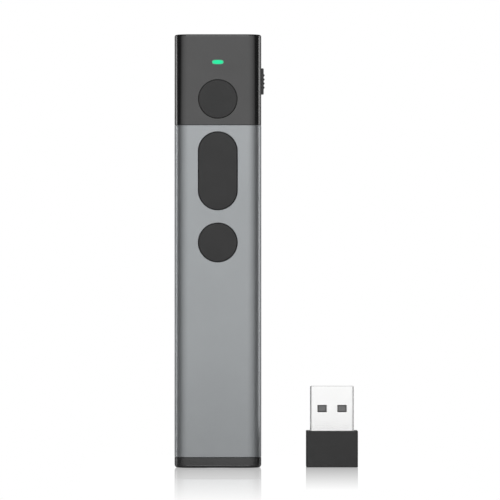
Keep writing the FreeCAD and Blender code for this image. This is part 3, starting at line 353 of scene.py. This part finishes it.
finishes = {
    "blastedMetal": {"color": (0.34, 0.356, 0.366), "metallic": 0.7, "roughness": (0.28, 0.35),
                     "grainScale": 7000.0, "bump": 0.25, "bumpDepth": 0.006, "drift": 0.02},
    "darkCasing": {"color": (0.092, 0.092, 0.092), "metallic": 0.9, "roughness": (0.12, 0.19),
                   "grainScale": 5200.0, "bump": 0.15, "bumpDepth": 0.004, "drift": 0.04},
    "keyPlastic": {"color": (0.032, 0.032, 0.032), "roughness": (0.52, 0.62), "specular": 0.35,
                   "grainScale": 6000.0, "bump": 0.3, "bumpDepth": 0.008, "drift": 0.05},
    "receiverPlastic": {"color": (0.0265, 0.0265, 0.0265), "roughness": (0.42, 0.52),
                        "specular": 0.4, "grainScale": 5000.0, "bump": 0.3, "bumpDepth": 0.008,
                        "drift": 0.05},
    "sliderPlastic": {"color": (0.02, 0.02, 0.02), "roughness": (0.35, 0.45),
                      "grainScale": 6000.0, "bump": 0.25, "bumpDepth": 0.006},
    "plugNickel": {"color": (0.97, 0.97, 0.965), "metallic": 1.0, "roughness": (0.16, 0.22),
                   "grainScale": 3000.0, "bump": 0.08, "bumpDepth": 0.003, "drift": 0.01},
    "plugPlastic": {"color": (0.22, 0.22, 0.22), "roughness": (0.45, 0.55), "drift": 0.04},
    "goldFlash": {"color": (0.83, 0.6, 0.25), "metallic": 1.0, "roughness": (0.2, 0.28)},
    "innerPlastic": {"color": (0.03, 0.03, 0.032), "roughness": (0.45, 0.6)},
    "silicone": {"color": (0.33, 0.33, 0.34), "roughness": (0.55, 0.7), "specular": 0.4},
    "springSteel": {"color": (0.62, 0.61, 0.59), "metallic": 1.0, "roughness": (0.2, 0.3)},
    "screwSteel": {"color": (0.28, 0.28, 0.29), "metallic": 1.0, "roughness": (0.25, 0.35)},
    "solderMask": {"color": (0.012, 0.085, 0.03), "roughness": (0.25, 0.4), "coat": 0.4},
    "chipEpoxy": {"color": (0.015, 0.015, 0.016), "roughness": (0.5, 0.6)},
    "blueCeramic": {"color": (0.08, 0.2, 0.4), "roughness": (0.2, 0.3), "coat": 0.5},
    "tanCeramic": {"color": (0.4, 0.3, 0.18), "roughness": (0.35, 0.45)},
    "cellFoil": {"color": (0.62, 0.62, 0.64), "metallic": 0.9, "roughness": (0.35, 0.5),
                 "grainScale": 1500.0, "bump": 0.4, "bumpDepth": 0.03},
    "amberTape": {"color": (0.5, 0.4, 0.1), "roughness": (0.3, 0.4), "coat": 0.3},
    "turnedBrass": {"color": (0.72, 0.52, 0.22), "metallic": 1.0, "roughness": (0.22, 0.32)},
    "magnetNickel": {"color": (0.65, 0.64, 0.62), "metallic": 1.0, "roughness": (0.12, 0.2)},
    "ledBody": {"color": (0.8, 0.8, 0.72), "roughness": (0.4, 0.5)},
}
paint = {name: makeFinish(name, look) for name, look in finishes.items()}


litPipe = {
    "body": (0.01, 0.1, 0.05, 1),
    "roughness": 0.3,
    "specular": 0.15,
    "core": (0.008, 0.78, 0.34, 1),
    "rim": (0.1, 0.34, 0.2, 1),
    "glow": 1.0,
    "coreEdge": 0.75,
    "rimEdge": 1.15,
    "faceDepth": 0.3 * mm,
}


def makeLitPipe():
    # the light pipe of the status light, lit from behind and dimmer towards its rim
    material = bpy.data.materials.new("litPipe")
    material.use_nodes = True
    tree = material.node_tree
    surface = tree.nodes["Principled BSDF"]
    surface.inputs["Base Color"].default_value = litPipe["body"]
    surface.inputs["Roughness"].default_value = litPipe["roughness"]
    surface.inputs["Specular IOR Level"].default_value = litPipe["specular"]
    surface.inputs["Emission Strength"].default_value = litPipe["glow"]
    low, high = faceSpan("light_pipe", litPipe["faceDepth"])
    place = tree.nodes.new("ShaderNodeTexCoord")
    centred = addNode(tree, "ShaderNodeVectorMath", operation="SUBTRACT")
    centred.inputs[1].default_value = (low + high) / 2
    scaled = addNode(tree, "ShaderNodeVectorMath", operation="MULTIPLY")
    scaled.inputs[1].default_value = (2 / (high.x - low.x), 0, 2 / (high.z - low.z))
    reach = addNode(tree, "ShaderNodeVectorMath", operation="LENGTH")
    edge = tree.nodes.new("ShaderNodeMapRange")
    edge.inputs["From Min"].default_value = litPipe["coreEdge"]
    edge.inputs["From Max"].default_value = litPipe["rimEdge"]
    glow = addNode(tree, "ShaderNodeMix", data_type="RGBA")
    glow.inputs[colorA].default_value = litPipe["core"]
    glow.inputs[colorB].default_value = litPipe["rim"]
    link = tree.links.new
    link(place.outputs["Object"], centred.inputs[0])
    link(centred.outputs["Vector"], scaled.inputs[0])
    link(scaled.outputs["Vector"], reach.inputs[0])
    link(reach.outputs["Value"], edge.inputs["Value"])
    link(edge.outputs["Result"], glow.inputs["Factor"])
    link(glow.outputs[colorOut], surface.inputs["Emission Color"])
    return material


laserGlass = {
    "paneGlass": {"color": (0.55, 0.06, 0.07, 1), "roughness": 0.04, "ior": 1.5},
    "lensGlass": {"color": (0.95, 0.95, 1.0, 1), "roughness": 0.02, "ior": 1.5},
}


def makeLaserGlass(name, look):
    material = bpy.data.materials.new(name)
    material.use_nodes = True
    surface = material.node_tree.nodes["Principled BSDF"]
    surface.inputs["Base Color"].default_value = look["color"]
    surface.inputs["Roughness"].default_value = look["roughness"]
    surface.inputs["Transmission Weight"].default_value = 1.0
    surface.inputs["IOR"].default_value = look["ior"]
    return material


paint["litPipe"] = makeLitPipe()
for name, look in laserGlass.items():
    paint[name] = makeLaserGlass(name, look)
print("finishes made:", len(paint))


# Casing

dressed("body_tube", "bodyTube", "clicker", "blastedMetal")
dressed("head_shell", "headShell", "clicker", "darkCasing")
dressed("end_cap", "endCap", "clicker", "darkCasing")
print("casing made")


# Keys: a softly crowned face over the frame's own skirt and hooks

keyShape = {
    "crown": 0.07 * mm,
    "crownSteps": 5,
    "crownStart": 0.98,  # shares of the way from the middle to the rim
    "crownEnd": 0.03,
    "rim": 0.28 * mm,
    "rimSteps": 6,
    "faceDepth": 0.9 * mm,
    "overlap": 0.1 * mm,
}


def makeKey(nodeName, name):
    low, high = faceSpan(nodeName, keyShape["faceDepth"])
    wide, tall = high.x - low.x, high.z - low.z
    centre = ((low.x + high.x) / 2, (low.z + high.z) / 2)
    front, radius = low.y, min(wide, tall) / 2
    crown, rim = keyShape["crown"], keyShape["rim"]
    profile = [(front + keyShape["faceDepth"] + keyShape["overlap"], 0)]
    for step in range(keyShape["rimSteps"] + 1):
        turn = math.pi / 2 * step / keyShape["rimSteps"]
        profile.append((front + crown + rim * (1 - math.sin(turn)), rim * (1 - math.cos(turn))))
    for step in range(1, keyShape["crownSteps"] + 1):
        way = 1 - step / keyShape["crownSteps"]
        left = (keyShape["crownStart"] - keyShape["crownEnd"]) * way + keyShape["crownEnd"]
        profile.append((front + crown * left ** 2, radius - left * (radius - rim)))
    outlines = [(depth, slotOutline(wide, tall, -inset)) for depth, inset in profile]
    face = loftRings("face", [facing(outline, depth, centre) for depth, outline in outlines])
    key = mergedCopy(nodeName, name)
    reach = wide + tall
    skirtFront = front + keyShape["faceDepth"]
    carve(key, [boxBetween(
        (-reach, front - rim, low.z - reach), (reach, skirtFront, high.z + reach)
    )])
    carve(key, [face], "UNION")
    return finish(key, nodeName, "keyPlastic", nodeName)


makeKey("laser_key", "laserKey")
makeKey("page_key", "pageKey")
makeKey("lower_key", "lowerKey")
dressed("light_pipe", "lightPipe", "clicker", "litPipe")
dressed("laser_pane", "laserPane", "clicker", "paneGlass")
print("keys and windows made")


# Geometry Nodes trees

def newTree(name, inputs):
    tree = bpy.data.node_groups.new(name, "GeometryNodeTree")
    tree.is_modifier = True
    tree.interface.new_socket("Geometry", in_out="INPUT", socket_type="NodeSocketGeometry")
    for label, kind in inputs:
        tree.interface.new_socket(label, in_out="INPUT", socket_type=kind)
    tree.interface.new_socket("Geometry", in_out="OUTPUT", socket_type="NodeSocketGeometry")
    return tree, tree.nodes.new("NodeGroupInput"), tree.nodes.new("NodeGroupOutput")


def grown(name, tree, values, startMesh=None):
    # runs a tree on an object of its own and keeps the plain mesh
    piece = linked(name, startMesh or bpy.data.meshes.new(name))
    maker = piece.modifiers.new(name, "NODES")
    maker.node_group = tree
    for item in tree.interface.items_tree:
        if item.in_out == "INPUT" and item.name in values:
            maker[item.identifier] = values[item.name]
    bakeModifiers(piece)
    return piece


def makeRidgeTree():
    # equal bars in a column, each with a rounded back
    tree, given, result = newTree("ridgeRow", [
        ("Count", "NodeSocketInt"),
        ("Pitch", "NodeSocketFloat"),
        ("Length", "NodeSocketFloat"),
        ("Width", "NodeSocketFloat"),
        ("Sides", "NodeSocketInt"),
        ("Start", "NodeSocketVector"),
        ("Material", "NodeSocketMaterial"),
    ])
    link = tree.links.new
    offset = tree.nodes.new("ShaderNodeCombineXYZ")
    column = tree.nodes.new("GeometryNodeMeshLine")
    half = tree.nodes.new("ShaderNodeMath")
    half.operation = "MULTIPLY"
    half.inputs[1].default_value = 0.5
    bar = tree.nodes.new("GeometryNodeMeshCylinder")
    lie = addNode(tree, "GeometryNodeTransform")
    lie.inputs["Rotation"].default_value = (math.radians(90), 0, 0)
    place = tree.nodes.new("GeometryNodeInstanceOnPoints")
    real = tree.nodes.new("GeometryNodeRealizeInstances")
    coat = tree.nodes.new("GeometryNodeSetMaterial")
    link(given.outputs["Pitch"], offset.inputs["Z"])
    link(given.outputs["Count"], column.inputs["Count"])
    link(given.outputs["Start"], column.inputs["Start Location"])
    link(offset.outputs["Vector"], column.inputs["Offset"])
    link(given.outputs["Width"], half.inputs[0])
    link(given.outputs["Sides"], bar.inputs["Vertices"])
    link(half.outputs["Value"], bar.inputs["Radius"])
    link(given.outputs["Length"], bar.inputs["Depth"])
    link(bar.outputs["Mesh"], lie.inputs["Geometry"])
    link(column.outputs["Mesh"], place.inputs["Points"])
    link(lie.outputs["Geometry"], place.inputs["Instance"])
    link(place.outputs["Instances"], real.inputs["Geometry"])
    link(real.outputs["Geometry"], coat.inputs["Geometry"])
    link(given.outputs["Material"], coat.inputs["Material"])
    link(coat.outputs["Geometry"], result.inputs["Geometry"])
    return tree


def makeScrewTree():
    # a screw at each point that the tree is given
    tree, given, result = newTree("screwSet", [
        ("Screw", "NodeSocketObject"),
        ("Turn", "NodeSocketFloat"),
        ("Material", "NodeSocketMaterial"),
    ])
    link = tree.links.new
    model = tree.nodes.new("GeometryNodeObjectInfo")
    place = tree.nodes.new("GeometryNodeInstanceOnPoints")
    axes = tree.nodes.new("ShaderNodeCombineXYZ")
    real = tree.nodes.new("GeometryNodeRealizeInstances")
    coat = tree.nodes.new("GeometryNodeSetMaterial")
    link(given.outputs["Screw"], model.inputs["Object"])
    link(given.outputs["Turn"], axes.inputs["X"])
    link(given.outputs["Geometry"], place.inputs["Points"])
    link(model.outputs["Geometry"], place.inputs["Instance"])
    link(axes.outputs["Vector"], place.inputs["Rotation"])
    link(place.outputs["Instances"], real.inputs["Geometry"])
    link(real.outputs["Geometry"], coat.inputs["Geometry"])
    link(given.outputs["Material"], coat.inputs["Material"])
    link(coat.outputs["Geometry"], result.inputs["Geometry"])
    return tree


ridgeTree = makeRidgeTree()
screwTree = makeScrewTree()


# Power slider: the frame's knob with rounded grip ridges in place of its square ones

slider = {
    "ridgeCount": 4,
    "ridgePitch": 1.115 * mm,
    "ridgeRise": 0.25 * mm,
    "ridgeWidth": 0.56 * mm,
    "ridgeLength": 3.0 * mm,
    "ridgeSides": 16,
    "gripDepth": 0.1 * mm,
}


def makeSliderKnob():
    low, high = span("slider_knob")
    grip = high.x - slider["ridgeRise"]
    vertices = nodes["slider_knob"].data.vertices
    levels = [v.co.z for v in vertices if v.co.x > grip - slider["gripDepth"]]
    middle = (min(levels) + max(levels)) / 2
    knob = mergedCopy("slider_knob", "sliderKnob")
    carve(knob, [boxBetween((grip, -farOut, low.z - farOut), (farOut, farOut, high.z + farOut))])
    lowest = middle - (slider["ridgeCount"] - 1) * slider["ridgePitch"] / 2
    ridges = grown("ridges", ridgeTree, {
        "Count": slider["ridgeCount"],
        "Pitch": slider["ridgePitch"],
        "Length": slider["ridgeLength"],
        "Width": slider["ridgeWidth"],
        "Sides": slider["ridgeSides"],
        "Start": (high.x - slider["ridgeWidth"] / 2, 0, lowest),
        "Material": paint["sliderPlastic"],
    })
    carve(knob, [ridges], "UNION")
    return finish(knob, "power_slider", "sliderPlastic", "slider_knob")


makeSliderKnob()
print("slider made")


# Screws

screwShape = {
    "headRadius": 1.1 * mm,
    "headHeight": 0.7 * mm,
    "headBevel": 0.12 * mm,
    "shankRadius": 0.6 * mm,
    "threadRise": 0.1 * mm,
    "threadPitch": 0.4 * mm,
    "slotWide": 0.28 * mm,
    "slotLong": 1.3 * mm,
    "slotDeep": 0.4 * mm,
    "tip": 0.6 * mm,
    "tipTaper": 3,
    "steps": 6,
}


def makeScrew(length):
    # head down at the origin, shank upwards, with turned thread rings and a cross recess
    look = screwShape
    crest, root = look["shankRadius"], look["shankRadius"] - look["threadRise"]
    profile = [
        (0, look["headRadius"] - look["headBevel"]),
        (look["headBevel"], look["headRadius"]),
        (look["headHeight"], look["headRadius"]),
        (look["headHeight"], root),
    ]
    level, end = look["headHeight"] + look["threadPitch"], length - look["tip"]
    while level < end:
        profile += [(level - look["threadPitch"] / 4, root), (level, crest)]
        profile.append((level + look["threadPitch"] / 4, root))
        level += look["threadPitch"]
    profile.append((length, root / look["tipTaper"]))
    steps = look["steps"]
    rings = [upright(slotOutline(2 * radius, 2 * radius, 0, steps), z) for z, radius in profile]
    screw = loftRings("screw", rings)
    for long, wide in ((look["slotLong"], look["slotWide"]), (look["slotWide"], look["slotLong"])):
        low, high = (-long / 2, -wide / 2, -overcut), (long / 2, wide / 2, look["slotDeep"])
        carve(screw, [boxBetween(low, high)])
    return screw


def setScrews(name, length, places, turn, nodeName):
    model = makeScrew(length)
    points = bpy.data.meshes.new(name)
    points.from_pydata(places, [], [])
    screws = grown(name, screwTree, {
        "Screw": model, "Turn": turn, "Material": paint["screwSteel"],
    }, points)
    bpy.data.objects.remove(model)
    return finish(screws, "clicker", "screwSteel", nodeName)


def makeCapScrews():
    low, high = span("cap_screws")
    across = high.x - screwShape["headRadius"]
    depth = (low.y + high.y) / 2
    places = [(side * across, depth, low.z) for side in (-1, 1)]
    return setScrews("capScrews", high.z - low.z, places, 0.0, "cap_screws")


def makeBoardScrews():
    low, high = span("board_screws")
    radius = screwShape["headRadius"]
    across = high.x - radius
    levels = (low.z + radius, high.z - radius)
    places = [(side * across, low.y, level) for side in (-1, 1) for level in levels]
    return setScrews("boardScrews", high.y - low.y, places, math.radians(-90), "board_screws")


makeCapScrews()
makeBoardScrews()
print("screws made")


# Receiver

plug = {
    "windowWide": 2.55 * mm,
    "windowHigh": 1.97 * mm,
    "windowSpacing": 5.47 * mm,
    "windowRise": 6.1 * mm,
    "frameWide": 0.3 * mm,
    "frameDeep": 0.9 * mm,
    "ledgeRises": (0.85 * mm, 1.4 * mm),
    "ledgeHigh": 0.08 * mm,
    "ledgeDeep": 0.03 * mm,
    "ledgeLong": 9.0 * mm,
    "seamWide": 0.1 * mm,
    "seamDeep": 0.05 * mm,
}
coverTop = span("receiver_cover")[1].z
plugLow, plugHigh = span("plug_shell")
plugMiddle = (plugLow.x + plugHigh.x) / 2


def pressedLine(level, surface, inward):
    # a level V groove; inward is the way into the metal, 1 at the front and -1 at the back
    high, deep = plug["ledgeHigh"], inward * plug["ledgeDeep"]
    rings = []
    for side in (-1, 1):
        x = plugMiddle + side * plug["ledgeLong"] / 2
        rings.append([
            (x, surface - deep, level - high),
            (x, surface - deep, level + high),
            (x, surface + deep, level),
        ])
    return loftRings("groove", rings)


def makePlugShell():
    # two pressed lines above the cover, back and front, and the fold's seam at the back
    shell = mergedCopy("plug_shell", "plugShell")
    cutters = []
    for rise in plug["ledgeRises"]:
        cutters.append(pressedLine(coverTop + rise, plugLow.y, 1))
        cutters.append(pressedLine(coverTop + rise, plugHigh.y, -1))
    half = plug["seamWide"] / 2
    seamLow = (plugMiddle - half, plugHigh.y - plug["seamDeep"], coverTop - overcut)
    seamHigh = (plugMiddle + half, plugHigh.y + farOut, plugHigh.z + farOut)
    cutters.append(boxBetween(seamLow, seamHigh))
    carve(shell, cutters)
    return finish(shell, "receiver", "plugNickel", "plug_shell")


def makePlugCore():
    # a moat round the patch that shows in each window
    core = mergedCopy("plug_core", "plugCore")
    front = span("plug_core")[0].y
    wide, high, inset = plug["windowWide"], plug["windowHigh"], plug["frameWide"]
    cutters = []
    for side in (-1, 1):
        centre = (plugMiddle + side * plug["windowSpacing"] / 2, coverTop + plug["windowRise"])
        outer, inner = boxOutline(wide, high, inset), boxOutline(wide, high, -inset)
        near, far = front - overcut, front + plug["frameDeep"]
        cutters.append(loftRings("moat", [
            facing(outer, near, centre),
            facing(outer, far, centre),
            facing(inner, far, centre),
            facing(inner, near, centre),
        ], closed=True))
    carve(core, cutters)
    return finish(core, "receiver", "plugPlastic", "plug_core")


dressed(
    "receiver_cover", "receiverCover", "receiver", "receiverPlastic"
)
makePlugShell()
makePlugCore()
dressed("plug_fingers", "plugFingers", "receiver", "goldFlash")
print("receiver made")


# The frame's own pieces inside, painted where they stand

insidePaint = {
    "carrier": "innerPlastic", "key_frame": "innerPlastic", "key_mat": "silicone",
    "contact_domes": "springSteel", "status_led": "ledBody", "switch_can": "springSteel",
    "switch_lever": "innerPlastic", "main_board": "solderMask", "radio_chip": "chipEpoxy",
    "crystal": "springSteel", "charger_chip": "chipEpoxy", "chip_antenna": "blueCeramic",
    "capacitors": "tanCeramic", "battery_cell": "cellFoil", "battery_tape": "amberTape",
    "battery_tabs": "springSteel", "laser_barrel": "turnedBrass", "laser_diode": "goldFlash",
    "laser_lens": "lensGlass", "laser_driver_board": "solderMask", "laser_pins": "goldFlash",
    "charge_port_shell": "springSteel", "charge_port_core": "chipEpoxy",
    "bay_magnets": "magnetNickel", "receiver_board": "solderMask",
    "receiver_chip": "chipEpoxy", "receiver_crystal": "springSteel",
}
for nodeName, finishName in insidePaint.items():
    mesh = nodes[nodeName].data
    mesh.materials.clear()
    mesh.materials.append(paint[finishName])
print("inside painted")


# Light, floor and camera

cards = {
    "front": {"size": (1.38, 3.2), "place": (0, -1.9, 0.2), "aim": (0, 0, 0.06), "radiance": 1.0},
    "topFront": {"size": (0.7, 0.34), "place": (0, -0.9, 0.46), "aim": (0, 0, 0.08),
                 "radiance": 2.2},
    "back": {"size": (1.0, 1.0), "place": (0, 1.9, 0.2), "aim": (0, 0, 0.06), "radiance": 1.0},
    "overhead": {"size": (0.8, 0.8), "place": (0, 0, 1.2), "aim": (0, 0, 0), "radiance": 0.4},
}
# panels on both sides: degrees round from the front, degrees wide, how bright, and how tall
sidePanels = [
    (25, 10, 0.95, 2.7), (35, 10, 0.87, 2.7), (45, 10, 0.74, 2.7), (55, 10, 0.54, 2.7),
    (64, 8, 0.28, 2.7), (118, 14, 2.7, 0.6), (138, 14, 0.4, 2.7), (152, 14, 0.4, 2.7),
]
panelLook = {"distance": 1.6, "level": 0.08}


def makeCard(name, look):
    # an even panel; its watts come from the wanted brightness of its face
    lamp = bpy.data.lights.new(name, "AREA")
    lamp.shape = "RECTANGLE"
    lamp.size, lamp.size_y = look["size"]
    lamp.energy = math.pi * lamp.size * lamp.size_y * look["radiance"]
    card = bpy.data.objects.new(name, lamp)
    bpy.context.scene.collection.objects.link(card)
    card.location = look["place"]
    aim = Vector(look["aim"]) - Vector(look["place"])
    card.rotation_euler = aim.to_track_quat("-Z", "Y").to_euler()
    card.visible_camera = False


def makeSidePanels():
    # the front light fades round the casing, a dark gap follows, and bright strips rim its edges
    reach, level = panelLook["distance"], panelLook["level"]
    for turn, spread, radiance, tall in sidePanels:
        width = 2 * reach * math.tan(math.radians(spread / 2))
        for side in (-1, 1):
            x = side * reach * math.sin(math.radians(turn))
            y = -reach * math.cos(math.radians(turn))
            makeCard("sidePanel", {"size": (width, tall), "place": (x, y, level),
                                   "aim": (0, 0, level), "radiance": radiance})


for name, look in cards.items():
    makeCard(name, look)
makeSidePanels()


skyLook = {"dim": (0.045, 0.045, 0.046, 1), "seen": (1, 1, 1, 1)}


def makeSky():
    # white behind the object, dim where it lights and reflects
    world = bpy.data.worlds.new("studio")
    world.use_nodes = True
    bpy.context.scene.world = world
    tree = world.node_tree
    seen = tree.nodes.new("ShaderNodeLightPath")
    shade = addNode(tree, "ShaderNodeMix", data_type="RGBA")
    shade.inputs[colorA].default_value = skyLook["dim"]
    shade.inputs[colorB].default_value = skyLook["seen"]
    tree.links.new(seen.outputs["Is Camera Ray"], shade.inputs["Factor"])
    tree.links.new(shade.outputs[colorOut], tree.nodes["Background"].inputs["Color"])


makeSky()

floorLook = {
    "side": 0.9,
    "front": -0.2,
    "drop": 0.05 * mm,
    "polish": 0.55,
    "sheen": 0.35,
    "mirrorRoughness": 0.008,
    "matt": (0.95, 0.95, 0.95, 1),
    "grazeBlend": 0.5,
    "grazeStart": 0.7,
    "grazeEnd": 0.95,
    "fadeStart": 0.005,
    "fadeEnd": 0.178,
    "fadeEndRight": 0.115,
    "rightStart": 0.014,
    "rightEnd": 0.022,
    "besideMiddle": 0.0125,
    "besideStart": 0.028,
    "besideEnd": 0.05,
    "behindStart": 0.012,
    "behindEnd": 0.07,
}


def mapped(tree, source, fromMin, fromMax, toMin, toMax):
    # a clamped ramp from one range to another
    ramp = tree.nodes.new("ShaderNodeMapRange")
    ramp.inputs["From Min"].default_value = fromMin
    ramp.inputs["From Max"].default_value = fromMax
    ramp.inputs["To Min"].default_value = toMin
    ramp.inputs["To Max"].default_value = toMax
    tree.links.new(source, ramp.inputs["Value"])
    return ramp.outputs["Result"]


def makeFloor():
    # a white sweep with a polish that fades away from the pieces, and clear from below
    side, front, level = floorLook["side"], floorLook["front"], -floorLook["drop"]
    mesh = bpy.data.meshes.new("floor")
    corners = [
        (-side, front, level), (side, front, level), (side, side, level), (-side, side, level),
    ]
    mesh.from_pydata(corners, [], [(0, 1, 2, 3)])
    floor = linked("floor", mesh)
    material = bpy.data.materials.new("paleFloor")
    material.use_nodes = True
    tree = material.node_tree
    tree.nodes.clear()
    link = tree.links.new
    output = tree.nodes.new("ShaderNodeOutputMaterial")
    white = addNode(tree, "ShaderNodeEmission", Color=(1, 1, 1, 1))
    mirror = addNode(tree, "ShaderNodeBsdfGlossy", Color=(1, 1, 1, 1))
    mirror.inputs["Roughness"].default_value = floorLook["mirrorRoughness"]
    matt = addNode(tree, "ShaderNodeBsdfDiffuse", Color=floorLook["matt"])
    place = tree.nodes.new("ShaderNodeTexCoord")
    split = tree.nodes.new("ShaderNodeSeparateXYZ")
    link(place.outputs["Object"], split.inputs["Vector"])
    polish, start = floorLook["polish"], -floorLook["fadeStart"]
    depth, across = split.outputs["Y"], split.outputs["X"]
    long = mapped(tree, depth, start, -floorLook["fadeEnd"], polish, 0)
    short = mapped(tree, depth, start, -floorLook["fadeEndRight"], polish, 0)
    right = mapped(tree, across, floorLook["rightStart"], floorLook["rightEnd"], 0, 1)
    fade = tree.nodes.new("ShaderNodeMix")
    link(right, fade.inputs["Factor"])
    link(long, fade.inputs["A"])
    link(short, fade.inputs["B"])
    grazing = addNode(tree, "ShaderNodeLayerWeight", Blend=floorLook["grazeBlend"])
    facingAway = grazing.outputs["Facing"]
    low = mapped(tree, facingAway, floorLook["grazeStart"], floorLook["grazeEnd"], 0, 1)
    shifted = addNode(tree, "ShaderNodeMath", operation="SUBTRACT")
    shifted.inputs[1].default_value = floorLook["besideMiddle"]
    beside = addNode(tree, "ShaderNodeMath", operation="ABSOLUTE")
    link(across, shifted.inputs[0])
    link(shifted.outputs["Value"], beside.inputs[0])
    away = beside.outputs["Value"]
    close = mapped(tree, away, floorLook["besideStart"], floorLook["besideEnd"], 1, 0)
    behind = mapped(tree, depth, floorLook["behindStart"], floorLook["behindEnd"], 1, 0)
    near = addNode(tree, "ShaderNodeMath", operation="MULTIPLY")
    link(close, near.inputs[0])
    link(behind, near.inputs[1])
    kept = addNode(tree, "ShaderNodeMath", operation="MULTIPLY")
    link(low, kept.inputs[0])
    link(near.outputs["Value"], kept.inputs[1])
    share = addNode(tree, "ShaderNodeMath", operation="MULTIPLY")
    link(fade.outputs["Result"], share.inputs[0])
    link(kept.outputs["Value"], share.inputs[1])
    polished = tree.nodes.new("ShaderNodeMixShader")
    link(share.outputs["Value"], polished.inputs["Fac"])
    link(white.outputs["Emission"], polished.inputs[1])
    link(mirror.outputs["BSDF"], polished.inputs[2])
    around = addNode(tree, "ShaderNodeMixShader", Fac=floorLook["sheen"])
    link(matt.outputs["BSDF"], around.inputs[1])
    link(mirror.outputs["BSDF"], around.inputs[2])
    path = tree.nodes.new("ShaderNodeLightPath")
    choose = tree.nodes.new("ShaderNodeMixShader")
    link(path.outputs["Is Camera Ray"], choose.inputs["Fac"])
    link(around.outputs["Shader"], choose.inputs[1])
    link(polished.outputs["Shader"], choose.inputs[2])
    below = tree.nodes.new("ShaderNodeNewGeometry")
    clear = tree.nodes.new("ShaderNodeBsdfTransparent")
    sided = tree.nodes.new("ShaderNodeMixShader")
    link(below.outputs["Backfacing"], sided.inputs["Fac"])
    link(choose.outputs["Shader"], sided.inputs[1])
    link(clear.outputs["BSDF"], sided.inputs[2])
    link(sided.outputs["Shader"], output.inputs["Surface"])
    floor.data.materials.append(material)


makeFloor()

shot = {"lens": 315, "sensor": 36, "clipStart": 0.01, "place": (0.0088, -1.2025, 0.0596)}


def makeCamera():
    lens = bpy.data.cameras.new("camera")
    lens.lens = shot["lens"]
    lens.sensor_width = lens.sensor_height = shot["sensor"]
    lens.clip_start = shot["clipStart"]
    camera = bpy.data.objects.new("camera", lens)
    camera.location = shot["place"]
    camera.rotation_euler = (math.radians(90), 0, 0)
    bpy.context.scene.collection.objects.link(camera)
    bpy.context.scene.camera = camera


makeCamera()
bpy.context.scene.view_settings.view_transform = "Standard"
print("stage set")
